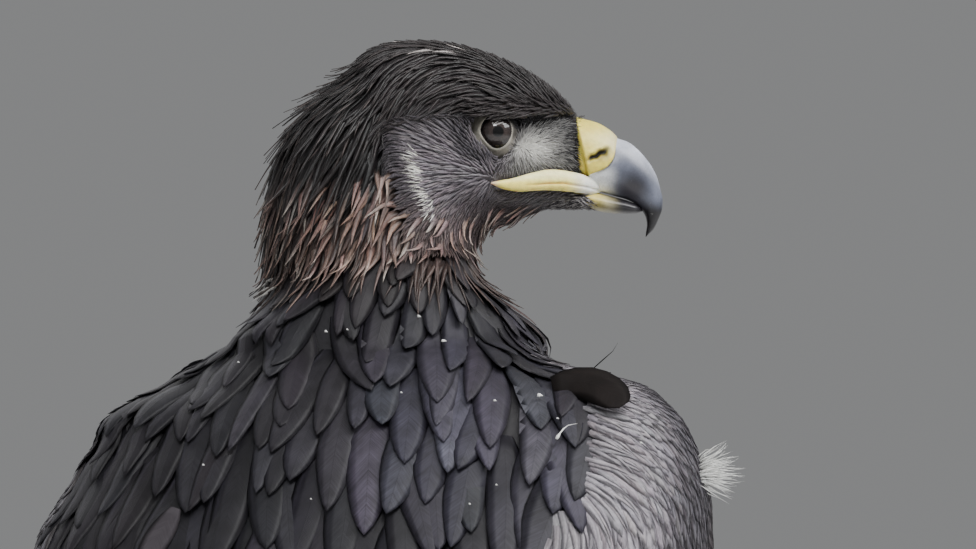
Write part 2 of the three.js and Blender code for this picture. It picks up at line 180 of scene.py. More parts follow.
def cloak(d, ang, off=0.0, side=1):
    """A point of the outline, ang in radians: 0 at the flank, pi/2 at mid-back."""
    d, ang, off = np.broadcast_arrays(np.asarray(d, float), ang, off)
    k = d / CLOAK
    p, t = AXIS.at(k), AXIS.dir(k)
    over = np.maximum(0, d - CLOAK)
    p = p + t * over[..., None]
    n = np.cross(np.array([1.0, 0, 0]), t)
    n = unit(np.where(n[..., 2:3] < 0, -n, n))
    c, h = soft(np.cos(ang)), soft(np.sin(ang))
    tall = np.where(h > 0, back_h(d), belly_h(d))
    q = p + n * (h * (tall + off))[..., None]
    q[..., 0] += side * c * (half_width(d) + off)
    return q


# ---------------------------------------------------------------- meshes and attributes
def mesh_object(name, verts_mm, faces, uvs=None, colours=None, smooth=True, attrs=None):
    me = bpy.data.meshes.new(name)
    v = np.asarray(verts_mm, np.float32) * 0.001
    if isinstance(faces, np.ndarray):
        n, k = faces.shape
        me.vertices.add(len(v)); me.vertices.foreach_set("co", v.ravel())
        me.loops.add(n * k); me.loops.foreach_set("vertex_index", faces.ravel().astype(np.int32))
        me.polygons.add(n); me.polygons.foreach_set("loop_start", np.arange(0, n * k, k, dtype=np.int32))
        me.update(calc_edges=True)
    else:
        me.from_pydata(v.tolist(), [], faces)
        me.update()
    ob = bpy.data.objects.new(name, me)
    bpy.context.scene.collection.objects.link(ob)
    if smooth:
        me.polygons.foreach_set("use_smooth", np.ones(len(me.polygons), bool))
    li = np.empty(len(me.loops), np.int32)
    me.loops.foreach_get("vertex_index", li)
    for nm, per_vert in (uvs or {}).items():
        layer = me.uv_layers.new(name=nm)
        layer.data.foreach_set("uv", np.asarray(per_vert, np.float32)[li].ravel())
    for nm, per_vert in (colours or {}).items():
        a = me.attributes.new(nm, "FLOAT_COLOR", "POINT")
        a.data.foreach_set("color", np.asarray(per_vert, np.float32).ravel())
    for nm, per_vert in (attrs or {}).items():
        a = me.attributes.new(nm, "FLOAT", "POINT")
        a.data.foreach_set("value", np.asarray(per_vert, np.float32).ravel())
    me.update()
    return ob


def grid_faces(rings, per, closed=True):
    i = np.arange(rings - 1)[:, None] * per
    j = np.arange(per if closed else per - 1)[None, :]
    jn = (j + 1) % per
    return np.stack([i + j, i + jn, i + per + jn, i + per + j], -1).reshape(-1, 4)


def put(ob, slot, mat, *nodes):
    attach(ob, root)
    if nodes:
        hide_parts(*nodes)
    ob.data.materials.clear()
    ob.data.materials.append(mat)
    return ob


# ---------------------------------------------------------------- smooth forms, as in the solids
def loft(spine, up, tall, wide, ends=(0.06, 0.06), around=32, along=40, shape=None, warp=None):
    c = spine if isinstance(spine, Curve) else Curve(spine)
    t = np.linspace(0, 1, along)
    s = (1 - np.cos(np.pi * t)) / 2 * 0.45 + t * 0.55
    p, d = c.at(s), c.dir(s)
    side = unit(np.cross(d, up))
    high = unit(np.cross(side, d))
    a = np.arange(around) * 2 * np.pi / around
    cc, hh = np.cos(a), np.sin(a)
    if shape:
        cc, hh = shape(a)
    r = rounded(s, *ends)
    r[[0, -1]] = np.maximum(r[[0, -1]], 1e-3)
    v = (p[:, None] + side[:, None] * (cc[None, :, None] * (wide(s) * r)[:, None, None])
         + high[:, None] * (hh[None, :, None] * (tall(s) * r)[:, None, None]))
    if warp:
        v = v + warp(s[:, None], cc[None], hh[None], r[:, None])
    return v


def closed(v):
    """Grid of rings to a closed mesh."""
    n, m = v.shape[:2]
    q = grid_faces(n, m)
    f = q.tolist() + [list(range(m))[::-1], [(n - 1) * m + i for i in range(m)]]
    p = v.reshape(-1, 3)
    o = p - p.mean(0)
    vol = (o[q[:, 0]] * (np.cross(o[q[:, 1]], o[q[:, 2]]) + np.cross(o[q[:, 2]], o[q[:, 3]]))).sum()
    if vol < 0:
        f = [x[::-1] for x in f]
    return p, f


crown = track([[-78, -4], [-74, 10], [-68, 20.5], [-62.6, 27.5], [-57, 33], [-51, 37], [-42, 38.4], [-30, 38.9], [-20, 38.0], [-12, 36.2], [4, 30.6], [16, 24.2], [26, 16.6], [32, 10], [35, 4]])
jaw = track([[-78, -12], [-71, -34], [-54, -49], [-27, -51], [-6, -47.5], [4, -40.6], [16, -34.5], [27, -31], [35, -27]])
cheeks = track([[-78, 4], [-72, 22], [-58, 33.5], [-42, 37.4], [-28, 37.6], [-14, 35.5], [0, 31.5], [10, 27], [20, 21.5], [29, 17.2], [35, 14.5]])


def bump2(x, y, x0, y0, sx, sy):
    return np.exp(-(((x - x0) / sx) ** 2) - ((y - y0) / sy) ** 2)


def head_form(around=96, along=90):
    t = np.linspace(0.0, 1.0, along)
    s = 0.5 - 0.5 * np.cos(np.pi * (0.04 + 0.92 * t))
    k = (s - 0.5 + 0.5 * math.cos(np.pi * 0.04)) / math.cos(np.pi * 0.04)
    u = (-78 + 113 * k)[:, None]
    a = np.arange(around)[None] * 2 * np.pi / around
    top, low, wide = crown(u), jaw(u), cheeks(u)
    mid = (top + low) / 2 + 2
    c, h = np.cos(a), np.sin(a)
    w = np.where(h > 0, mid + (top - mid) * h, mid + (mid - low) * h)
    v = wide * np.sign(c) * np.abs(c) ** 0.82
    side = np.abs(c) ** 0.6
    v = v + np.sign(c) * side * (3.6 * bump2(u, w, 8, 13.5, 17, 4.5) - 3.8 * bump2(u, w, -1, 1, 12, 8) - 2.6 * bump2(u, w, 20, -6, 11, 9)
                                 + 1.6 * bump2(u, w, -20, -18, 20, 16) - 1.5 * bump2(u, w, 10, -34, 20, 8))
    sc = np.where((t == 0) | (t == 1), 0.02, 1.0)[:, None]
    return head(u, v * sc, mid + (w - mid) * sc)


def neck_form():
    sp = [head(-38, 0, 24), head(-44.5, 0, 2), head(-49, 0, -20), head(-50.5, 0, -44), head(-47, 0, -64), at(100, 3, 446), at(96, 0, 415)]
    return loft(sp, U, track([[0, 24], [0.1, 33], [0.22, 42.5], [0.36, 47], [0.5, 47.5], [0.66, 57], [0.82, 75], [1, 84]]),
                track([[0, 26], [0.1, 34], [0.22, 40], [0.36, 43], [0.5, 46], [0.66, 51], [0.82, 56], [1, 56]]), (0.12, 0.1), 64, 60)


TRUNK = 421.0


def body_form():
    t = np.linspace(0, 1, 70)[:, None]
    k = 0.5 - 0.5 * np.cos(np.pi * (0.1 + 0.8 * t))
    s = (k - 0.0245) / 0.951
    r = np.maximum(rounded(s, 0.07, 0.09), 1e-3)
    d = TRUNK * s
    a = np.arange(96)[None] * 2 * np.pi / 96
    mid = (cloak(d, np.pi / 2) + cloak(d, -np.pi / 2)) / 2
    return (cloak(d, a) - mid) * r[..., None] + mid


def bend(d, ang):
    return 9 * np.exp(-(((d - 56) / 44) ** 2) - ((ang - 0.25) / 0.6) ** 2)


shell_depth = track([[18, 16], [90, 24], [225, 20], [352, 14], [420, 9], [520, 6.5], [640, 3.5]])


def wing_form(side, to=352.0):
    t = np.linspace(0, 1, 90)[:, None]
    s = (1 - np.cos(np.pi * t)) / 2 * 0.5 + t * 0.5
    d = 18 + (to - 18) * s
    r = np.maximum(rounded((d - 18) / 632, 0.085, 0.12) * np.where(s > 0.93, np.sqrt(np.maximum(0, 1 - ((s - 0.93) / 0.07) ** 2)), 1), 2e-3)
    up, low = np.radians(upper_edge(d)), np.radians(lower_edge(d))
    a = np.arange(72)[None] * 2 * np.pi / 72
    c, h = np.cos(a), np.sin(a)
    ang = (up + low) / 2 + h * (up - low) / 2 * r
    off = np.where(c > 0, np.sqrt(np.abs(c)) * (4 + bend(d, ang)) * r, c * shell_depth(d) * r)
    return cloak(d, ang, off, side)


STANCE, FOOT_FORWARD, SOLE, TOE_R = 47.0, 44.0, 1.4, 8.2


def thigh_form(side):
    sp = [at(66, side * 52, 262), at(66, side * 54, 222), at(53, side * 53, 180), at(33, side * 51, 138), at(16, side * 49, 98), at(9, side * 48, 66)]
    return loft(sp, at(1, 0, 0) - at(0, 0, 0), track([[0, 52], [0.2, 60], [0.42, 57], [0.62, 46], [0.8, 33], [0.92, 24], [1, 17]]),
                track([[0, 38], [0.2, 45], [0.42, 45], [0.62, 38], [0.8, 29], [0.92, 22], [1, 16]]), (0.12, 0.1), 48, 50)


def shank_form(side, less=0.0):
    sp = [at(14, side * STANCE, 100), at(20, side * STANCE, 78), at(32, side * STANCE, 48), at(FOOT_FORWARD - 2, side * STANCE, 18)]
    t1, t2 = track([[0, 15], [0.3, 18], [0.7, 17], [1, 15]]), track([[0, 14], [0.3, 17], [0.7, 16], [1, 14.5]])
    return loft(sp, at(1, 0, 0) - at(0, 0, 0), lambda s: t1(s) - less, lambda s: t2(s) - less, (0.12, 0.06), 40, 30)


TOES = {"inner": (-34, 50, 1.02, 38), "middle": (4, 68, 0.95, 31), "outer": (44, 52, 0.88, 26), "hind": (176, 40, 1.08, 42)}


def toe_axes(side, toe):
    h, long, r, claw = TOES[toe]
    a = math.radians(h)
    d = at(math.cos(a), side * math.sin(a), 0) - at(0, 0, 0)
    return at(FOOT_FORWARD, side * STANCE, 0), d, TOE_R * r, long, claw


def toe_form(side, toe, around=40, along=70):
    fr, d, r, long, claw = toe_axes(side, toe)
    sp = [fr + d * k * long + Z * (z - SOLE) for k, z in ((0, 11.5), (0.3, 9.6), (0.5, 9), (0.7, 8.4), (1, 6.8))]
    return loft(sp, Z, lambda t: r * (1.05 - 0.24 * t + 0.1 * np.cos(t * 6 * np.pi)), lambda t: r * (1.08 - 0.26 * t + 0.07 * np.cos(t * 6 * np.pi)), (0.1, 0.12), around, along)


def remesh(parts, voxel_mm, name="tmp"):
    vs, fs, o = [], [], 0
    for v, f in parts:
        vs.append(v); fs += [[i + o for i in q] for q in f]; o += len(v)
    ob = mesh_object(name, np.vstack(vs), fs)
    m = ob.modifiers.new("r", "REMESH")
    m.mode, m.voxel_size, m.use_smooth_shade = "VOXEL", voxel_mm * 0.001, True
    dg = bpy.context.evaluated_depsgraph_get()
    me = bpy.data.meshes.new_from_object(ob.evaluated_get(dg))
    v = np.empty(len(me.vertices) * 3, np.float32); me.vertices.foreach_get("co", v)
    n = len(me.polygons)
    tot = np.empty(n, np.int32); me.polygons.foreach_get("loop_total", tot)
    li = np.empty(len(me.loops), np.int32); me.loops.foreach_get("vertex_index", li)
    assert (tot == 4).all()
    bpy.data.objects.remove(ob)
    bpy.data.meshes.remove(me)
    return v.reshape(-1, 3).astype(float) * 1000, li.reshape(-1, 4)


def neighbour_mean(v, f, times, lam=0.5, mask=None):
    """Laplacian smoothing over the quads' edges."""
    e = np.unique(np.sort(np.vstack([f[:, [0, 1]], f[:, [1, 2]], f[:, [2, 3]], f[:, [3, 0]]]), axis=1), axis=0)
    cnt = np.bincount(e.ravel(), minlength=len(v)).astype(float)[:, None]
    for _ in range(times):
        s = np.zeros_like(v)
        for k in range(v.shape[1]):
            s[:, k] = np.bincount(e[:, 0], v[e[:, 1], k], len(v)) + np.bincount(e[:, 1], v[e[:, 0], k], len(v))
        step = lam * (s / cnt - v)
        v = v + (step if mask is None else step * mask[:, None])
    return v


def normals_of(v, f):
    n = np.zeros_like(v)
    fn = np.cross(v[f[:, 2]] - v[f[:, 0]], v[f[:, 3]] - v[f[:, 1]])
    for k in range(4):
        for c in range(3):
            n[:, c] += np.bincount(f[:, k], fn[:, c], len(v))
    return unit(n)


def eyeball_grid(side, r=EYE_R, around=64, along=48):
    c = head(EYE_BACK, side * EYE_OUT, 0.0)
    t = np.linspace(0.001, np.pi - 0.001, along)[:, None]
    a = np.arange(around)[None] * 2 * np.pi / around
    g = unit(np.array([0.0, 0.0, 1.0]))
    return c + r * np.stack([np.sin(t) * np.cos(a), np.sin(t) * np.sin(a), np.cos(t) + 0 * a], -1)


TAIL = Curve(at(*np.array([[-78, 0, 184], [-140, 0, 142], [-220, 0, 95], [-300, 0, 53], [-380, 0, 17]], float).T))
tail_tall = track([[0, 22], [0.15, 19], [0.35, 12], [0.6, 7], [1, 3]])
tail_wide = track([[0, 28], [0.25, 38], [0.6, 55], [0.85, 64], [1, 60]])


def tail_root_form():
    sp = [TAIL.at(s) for s in (0.0, 0.12, 0.24, 0.36)]
    return loft(sp, Z, lambda s: tail_tall(s * 0.36) * 0.8, lambda s: tail_wide(s * 0.36) * 0.85, (0.1, 0.35), 40, 30)


# one hull for all the flesh, out to the feathers' tips
sources = [closed(head_form()), closed(neck_form()), closed(body_form()), closed(tail_root_form())]
for s in (1, -1):
    sources += [closed(wing_form(s)), closed(thigh_form(s)), closed(shank_form(s, 3.0)), closed(eyeball_grid(s, EYE_R - 1))]
feet_forms = {s: [closed(toe_form(s, t)) for t in TOES] for s in (1, -1)}
HV, HF = remesh(sources + feet_forms[1] + feet_forms[-1], 3.15)
HV = neighbour_mean(HV, HF, 6, mask=ss(16, 26, HV[:, 2]) * 0.9 + 0.1)

# where the main camera stands, and the bird's outline in its view: height, then mm along U from the eye
BACK = np.array([-math.sin(math.radians(20)), math.cos(math.radians(20)), 0.0])
FAR = 3954.0
EYE_P = head(EYE_BACK, -EYE_OUT, 0.0)
AIM = EYE_P - 2.67 * U - 59.4 * Z
OUT_R = track([[359.2, 89.7], [367.5, 89.5], [379.6, 89.1], [385.9, 88.3], [396.3, 86.0], [402.9, 83.5], [413, 78.8], [422.1, 71.5], [427.5, 65.2],
               [433.8, 46], [437.1, 33], [444.2, 24.2], [454.6, 17.2], [463, 7.8], [467.1, 2.8], [471.3, -2.2], [477.5, -6.8], [480.9, -7.8], [483.8, -7.4],
               [489.2, -3], [492.1, 1.2], [495.9, 8.5], [499.2, 19.3]])
OUT_L = track([[359.2, -194], [367.5, -191.5], [379.6, -184.5], [385.9, -180.5], [396.3, -175], [402.9, -170.5], [413, -167], [422.1, -157.5],
               [427.5, -147], [435.9, -136], [444.2, -121], [454.6, -107], [463, -101], [471.3, -96.6]])


def seen(p):
    q = p - (AIM + BACK * FAR)
    depth = -(q @ BACK)
    return (q @ U) * FAR / depth - 4.25, AIM[2] + q[:, 2] * FAR / depth, depth


def fit_outline(v):
    us, zs, depth = seen(v)
    mid = -42.0
    for out, way, top in ((OUT_R, 1, (508, 499)), (OUT_L, -1, (480, 470))):
        zb = np.arange(357.0, top[0] + 4, 3.0)
        have = np.array([(us[np.abs(zs - z_) < 3.2] * way).max() * way for z_ in zb])
        have = np.convolve(np.pad(have, 1, mode="edge"), [0.25, 0.5, 0.25], mode="valid")
        k = (out(zb) - mid) / (have - mid)
        kk, hh = np.interp(zs, zb, k), np.interp(zs, zb, have)
        share = np.clip((us - mid) / (hh - mid), 0, 1.2)
        wgt = ss(300, 352, zs) * ss(top[0], top[1], zs)
        us = us + (us - mid) * (kk - 1) * ss(0, 1, share) * wgt
    now = (us + 4.25) * depth / FAR
    was = (v - (AIM + BACK * FAR)) @ U
    return v + U * (now - was)[:, None]


HV = fit_outline(fit_outline(HV))
HV = neighbour_mean(HV, HF, 3, mask=ss(340, 380, HV[:, 2]) * ss(506, 492, HV[:, 2]))
EAR = track([[-34, -32.5], [-12, -39.5]])


def ear_line(w):
    return np.where(w > -12, -39.5 - 0.1 * (w + 12), EAR(w))


HN = normals_of(HV, HF)
u_, v_, w_ = uvw(HV)
dent = np.exp(-(((u_ - ear_line(w_) + 6.5) / 3.8) ** 2)) * ss(-42, -30, w_) * ss(8, -6, w_) * ss(10, 16, np.abs(v_)) * (HV[:, 2] > 480)
swell = np.exp(-(((u_ - ear_line(w_) - 3) / 5.0) ** 2)) * ss(-42, -30, w_) * ss(2, -10, w_) * ss(10, 16, np.abs(v_)) * (HV[:, 2] > 480)
HV = HV + HN * (1.3 * swell - 3.4 * dent)[:, None]
HV[:, 2] -= 3.6 * ss(-4, 8, u_) * ss(37.5, 34, u_) * ss(-21, -31, w_) * (HV[:, 2] > 480)
HN = normals_of(HV, HF)
HULL = BVHTree.FromPolygons([tuple(p) for p in HV.tolist()], HF.tolist())
print("hull", len(HV), len(HF))


def nearest(p):
    """Closest points of the hull and smooth normals there."""
    q = np.empty_like(p)
    idx = np.empty(len(p), np.int64)
    find = HULL.find_nearest
    for i, x in enumerate(p.tolist()):
        loc, _, j, _ = find(x)
        q[i] = loc
        idx[i] = j
    f = HF[idx]
    w = 1.0 / (np.linalg.norm(HV[f] - q[:, None], axis=2) + 0.3)
    n = unit((HN[f] * w[..., None]).sum(1))
    return q, n


# ---------------------------------------------------------------- where things are on the bird
AXS = np.linspace(0, 1, 240)
AXP, AXT = AXIS.at(AXS), AXIS.dir(AXS)
AXN = np.cross([1.0, 0, 0], AXT)
AXN = unit(np.where(AXN[:, 2:3] < 0, -AXN, AXN))
LEGS = {s: Curve([at(66, s * 52, 262), at(66, s * 54, 222), at(53, s * 53, 180), at(33, s * 51, 138), at(16, s * 49, 98), at(9, s * 48, 66)]) for s in (1, -1)}
SHANKS = {s: Curve([at(14, s * STANCE, 100), at(20, s * STANCE, 78), at(32, s * STANCE, 48), at(42, s * STANCE, 18)]) for s in (1, -1)}
leg_tall = track([[0, 52], [0.2, 60], [0.42, 57], [0.62, 46], [0.8, 33], [0.92, 24], [1, 17]])
leg_wide = track([[0, 38], [0.2, 45], [0.42, 45], [0.62, 38], [0.8, 29], [0.92, 22], [1, 16]])
GAZE = {s: unit(math.cos(math.radians(8)) * s * Lh + math.sin(math.radians(8)) * U) for s in (1, -1)}
EYES = {s: head(EYE_BACK, s * EYE_OUT, 0.0) for s in (1, -1)}
OPEN_W, OPEN_H = 6.1, 6.9


def cloak_of(p):
    """How far down the body, the angle in degrees and the side."""
    i = np.empty(len(p), int)
    for a in range(0, len(p), 4000):
        i[a:a + 4000] = ((p[a:a + 4000, None, 1:] - AXP[None, :, 1:]) ** 2).sum(2).argmin(1)
    q = p - AXP[i]
    d = AXS[i] * CLOAK
    h = (q * AXN[i]).sum(1)
    ang = np.degrees(np.arctan2(h / np.where(h > 0, back_h(d), belly_h(d)), np.abs(p[:, 0]) / half_width(d)))
    return d, ang, np.sign(p[:, 0]), i


def leg_of(p, curves=LEGS, tall=leg_tall, wide=leg_wide):
    """How far out from the leg's middle, as a share of its size, and the share of its length."""
    s = np.sign(p[:, 0])
    s[s == 0] = 1
    r, k, t = np.full(len(p), 99.0), np.zeros(len(p)), np.zeros((len(p), 3))
    x = np.linspace(0, 1, 60)
    for side in (1, -1):
        m = s == side
        if m.any():
            c, tt = curves[side].at(x), curves[side].dir(x)
            j = ((p[m][:, None] - c[None]) ** 2).sum(2).argmin(1)
            q = p[m] - c[j]
            along = (q * tt[j]).sum(1)[:, None] * tt[j]
            q = q - along
            lat = q[:, 0]
            fwd = np.linalg.norm(q[:, 1:], axis=1)
            r[m] = np.hypot(lat / wide(x[j]), fwd / tall(x[j]))
            k[m], t[m] = x[j], tt[j]
    return r, k, t


def eye_polar(p, side):
    """Place round the eye: share of the opening's radius, height along the gaze, distance."""
    g = GAZE[side]
    q = p - EYES[side]
    a = q @ g
    q = q - a[:, None] * g
    f = unit(U - (U @ g) * g)
    x, y = q @ f, q[:, 2]
    return np.hypot((x + 0.5 - 0.5 * ss(0, -6, y)) / (OPEN_W * (1.04 - 0.24 * ss(1, -8, y))), (y - 0.1) / OPEN_H), a, np.hypot(x, y)


def turn(d, n, a):
    a = np.asarray(a)[:, None]
    return d * np.cos(a) + np.cross(n, d) * np.sin(a)


def flow(p, n):
    """Which way the coat lies at p, along the surface."""
    u, v, w = uvw(p)
    d, ang, side, i = cloak_of(p)
    z = p[:, 2]
    t = ss(20, -64, u)
    a = 1 - 0.62 * t
    b = 0.06 + 0.95 * t + 0.4 * ss(-12, -50, w) * ss(20, -20, u) - 0.45 * ss(2, 12, w) * ss(-24, 20, u)
    hd = unit(-U * a[:, None] - Z * b[:, None])
    # the cheek fans out from the corner of the mouth
    fan = unit(U * (u + 2)[:, None] + Z * (w + 20)[:, None])
    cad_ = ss(-48, -40, u) * ss(3, -4, u) * ss(9, 3, w) * ss(-46, -30, w) * 0.85
    hd = hd * (1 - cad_)[:, None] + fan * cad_[:, None]
    # the face parts round the eye
    near = np.exp(-((np.hypot(u + 0.6, w) / 11) ** 2))
    hd = hd + Z * (near * 0.35 * np.sign(w) * (u > -4))[:, None]
    nk = -Z + 0.22 * unit(np.stack([p[:, 0] - (HEAD0[0] + 47 * math.sin(TURN)), p[:, 1] - (HEAD0[1] + 47 * math.cos(TURN)), 0 * z], -1))
    k = ss(-34, -78, w)[:, None]
    top = hd * (1 - k) + nk * k
    body = AXT[i].copy()
    body[:, 0] += side * np.where(side > 0, 0.12, 0.2) * np.minimum(np.abs(p[:, 0]) / 90, 1) * np.exp(-d / 200) * ss(-20, 40, ang)
    body[:, 2] -= 0.35 * ss(10, -40, ang)
    kb = ss(484, 440, z)[:, None]
    out = top * (1 - kb) + body * kb
    r, ks, tt = leg_of(p)
    kl = (ss(1.7, 1.25, r) * ss(250, 205, z))[:, None]
    out = out * (1 - kl) + tt * kl
    r2, k2, t2 = leg_of(p, SHANKS, lambda s: 17 + 0 * s, lambda s: 16 + 0 * s)
    k2 = (ss(1.5, 1.25, r2) * ss(104, 84, z))[:, None]
    out = out * (1 - k2) + t2 * k2
    out = out - (out * n).sum(1)[:, None] * n
    return unit(out)


def info(p):
    u, v, w = uvw(p)
    d, ang, side, _ = cloak_of(p)
    r, kr, _ = leg_of(p)
    r2, k2, _ = leg_of(p, SHANKS, lambda s: 17 + 0 * s, lambda s: 16 + 0 * s)
    return dict(u=u, v=v, w=w, d=d, ang=ang, side=side, z=p[:, 2], leg=r, kleg=kr, shank=r2, kshank=k2, x=p[:, 0], y=p[:, 1])


def is_shank(q):
    return (q["shank"] < 1.45) & (q["z"] < 96) & ~((q["leg"] < 1.12) & (q["z"] > 84))


def is_leg(q):
    return (q["leg"] < 1.3) & (q["z"] < 236) & ~is_shank(q)


def is_head(q):
    return q["z"] > 480


# wing: from the leading edge to where the mantle starts; the mantle hides more of the left one
def cover_top(d, side):
    return np.where(side > 0, 12 + 0.12 * d, np.minimum(upper_edge(d) - 2, 33 + 0.1 * d))


def is_wing(q):
    return (~is_head(q)) & (q["d"] > 16) & (q["d"] < 352) & (q["ang"] > lower_edge(q["d"]) - 3) & (q["ang"] < cover_top(q["d"], q["side"]) + 2) & ~is_leg(q) & ~is_shank(q)


# ---------------------------------------------------------------- the coat's colours, for skin and feathers alike
def rgb(r, g, b):
    c = np.array([r, g, b], float) / 255
    return np.where(c <= 0.04045, c / 12.92, ((c + 0.055) / 1.055) ** 2.4)


DARK = rgb(38, 36, 41)
HEAD_BROWN = rgb(30, 25, 25)
RUFOUS = rgb(116, 91, 80)
CHEEK = rgb(122, 115, 120)
LORES = rgb(212, 210, 202)
BUMP = rgb(60, 55, 59)
YELLOW = rgb(231, 212, 96)


LORES_TOP = track([[0, -8], [4, -6], [6, -4], [11, 2], [19.5, 3.7], [26.6, 5.5], [35, 6.5]])


def mix(a, b, t):
    t = np.asarray(t)[..., None]
    return a * (1 - t) + b * t


def marking(p, wings=True):
    """Ground colour of the coat at points of the surface, with painted shade and light worked in."""
    u, v, w = uvw(p)
    d, ang, side, _ = cloak_of(p)
    z = p[:, 2]
    c = np.broadcast_to(DARK, p.shape).copy()
    hd = ss(455, 475, z)
    brown = mix(HEAD_BROWN, rgb(23, 19, 19), ss(-20, -60, u) * ss(-75, 0, w))
    face = ss(-48, -36, u) * ss(6, -2, w) * ss(-52, -40, w)
    hc = mix(brown, CHEEK, face * (0.3 + 0.7 * bump2(u, w, -20, -18, 21, 15)))
    top_ = LORES_TOP(u)
    lo_ = ss(1, 8, u) * ss(-21.5, -17, w + 0.1 * (u - 20)) * ss(top_ + 1.2, top_ - 1.4, w) * ss(38, 33, u)
    hc = mix(hc, mix(np.broadcast_to(rgb(104, 103, 101), p.shape), LORES, bump2(u, w, 15.5, -6.5, 7.5, 5.5)), lo_)
    # painted shadow under the brow: a near-black wedge in front of the eye, partly dark feathers
    wedge = ss(4, 7, u) * ss(32, 27, u) * ss(top_ - 1.2, top_ + 1.0, w) * ss(12, 8, w)
    hc = mix(hc, rgb(14, 12, 14), wedge * 0.95)
    hc = mix(hc, rgb(118, 114, 113), ss(-19, -24, w) * ss(-33, -27, w) * ss(-6, 10, u) * 0.75)
    below = np.exp(-(((np.hypot(u + 2, w * 1.05) - 13.0) / 3.4) ** 2)) * ss(5, -3, u) * ss(6, -2, w)
    hc = mix(hc, rgb(26, 23, 26), below * 0.9)
    band = ss(-48, -30, u) * ss(4, -6, u) * np.exp(-(((w - 8.5) / 3.4) ** 2))
    hc = mix(hc, rgb(30, 27, 29), band * 0.7)
    c = mix(c, hc, hd)
    wing = ss(16, 30, d) * ss(cover_top(d, side) + 12, cover_top(d, side), ang) * (1 - hd) * ss(lower_edge(d) - 8, lower_edge(d), ang) * float(wings)
    c = mix(c, rgb(62, 54, 53), wing * 0.9)
    c = mix(c, BUMP, wing * ss(165, 95, d) * ss(-14, 12, ang) * np.where(side < 0, 1.0, 0.3))
    # painted light, partly the coverts' own paler colour: a pale patch on top of the right wing only, the side the
    # light falls on
    c = mix(c, rgb(168, 162, 168), wing * (side < 0) * ss(165, 120, d) * ss(21, 41, ang) * 0.75)
    # painted shade: the body darkens towards the bird's left side, which lies away from the light
    c = c * (1 - 0.42 * ss(36, 92, p[:, 0]) * (1 - hd))[:, None]
    # painted shade in the hollow behind the ear coverts
    ear = hd * np.exp(-(((u - ear_line(w) + 6.0) / 4.6) ** 2)) * ss(-44, -32, w) * ss(10, -8, w)
    c = c * (1 - 0.8 * np.clip(ear, 0, 1))[:, None]
    collar = ss(466, 478, z) * ss(512, 492, z) * ss(30, 0, u) * float(wings)
    c = mix(c, RUFOUS, collar * 0.35)
    legs = ss(110, 60, z)
    c = mix(c, rgb(96, 84, 76), legs * 0.7)
    return c


# ---------------------------------------------------------------- materials
class Shader:
    def __init__(self, name):
        self.m = bpy.data.materials.new(name)
        self.m.use_nodes = True
        self.t = self.m.node_tree
        self.t.nodes.clear()
        self.out = self.t.nodes.new("ShaderNodeOutputMaterial")
        self.b = self.t.nodes.new("ShaderNodeBsdfPrincipled")
        self.t.links.new(self.b.outputs[0], self.out.inputs[0])

    def put(self, **k):
        for n, v in k.items():
            self.b.inputs[n.replace("_", " ")].default_value = v

    def link(self, a, b):
        self.t.links.new(a, b)

    def node(self, kind, **sockets):
        n = self.t.nodes.new("ShaderNode" + kind)
        for k, v in sockets.items():
            self.feed(n, k.replace("_", " "), v)
        return n

    def feed(self, n, key, v):
        s = n.inputs[int(key[1:])] if key[0] == "i" and key[1:].isdigit() else n.inputs[key]
        if isinstance(v, bpy.types.NodeSocket):
            self.link(v, s)
        else:
            s.default_value = v

    def math(self, op, a, b=None, c=None, clamp=False):
        n = self.t.nodes.new("ShaderNodeMath")
        n.operation, n.use_clamp = op, clamp
        for i, v in enumerate((a, b, c)):
            if v is not None:
                self.feed(n, f"i{i}", v)
        return n.outputs[0]

    def attr(self, name):
        n = self.t.nodes.new("ShaderNodeAttribute")
        n.attribute_name = name
        return n

    def mix(self, blend, fac, a, b):
        n = self.t.nodes.new("ShaderNodeMix")
        n.data_type, n.blend_type = "RGBA", blend
        self.feed(n, "i0", fac)
        self.feed(n, "i6", a)
        self.feed(n, "i7", b)
        return n.outputs[2]

    def noise(self, vec, scale, detail=2.0, rough=0.5):
        n = self.t.nodes.new("ShaderNodeTexNoise")
        n.inputs["Scale"].default_value = scale
        n.inputs["Detail"].default_value = detail
        n.inputs["Roughness"].default_value = rough
        if vec is not None:
            self.link(vec, n.inputs["Vector"])
        return n.outputs[0]

    def ramp(self, x, lo_, hi_, a=0.0, b=1.0):
        n = self.t.nodes.new("ShaderNodeMapRange")
        n.clamp = True
        for k, v in zip(("From Min", "From Max", "To Min", "To Max"), (lo_, hi_, a, b)):
            n.inputs[k].default_value = v
        self.link(x, n.inputs["Value"])
        return n.outputs[0]

    def vec(self, x, y, z=0.0):
        n = self.t.nodes.new("ShaderNodeCombineXYZ")
        for i, v in enumerate((x, y, z)):
            self.feed(n, f"i{i}", v)
        return n.outputs[0]

    def object_mm(self):
        n = self.t.nodes.new("ShaderNodeTexCoord")
        m = self.t.nodes.new("ShaderNodeVectorMath")
        m.operation = "SCALE"
        m.inputs["Scale"].default_value = 1000.0
        self.link(n.outputs["Object"], m.inputs[0])
        return m.outputs[0]

    def bump(self, height, dist_mm, strength=1.0):
        n = self.t.nodes.new("ShaderNodeBump")
        n.inputs["Strength"].default_value = strength
        n.inputs["Distance"].default_value = dist_mm * 0.001
        self.link(height, n.inputs["Height"])
        self.link(n.outputs[0], self.b.inputs["Normal"])


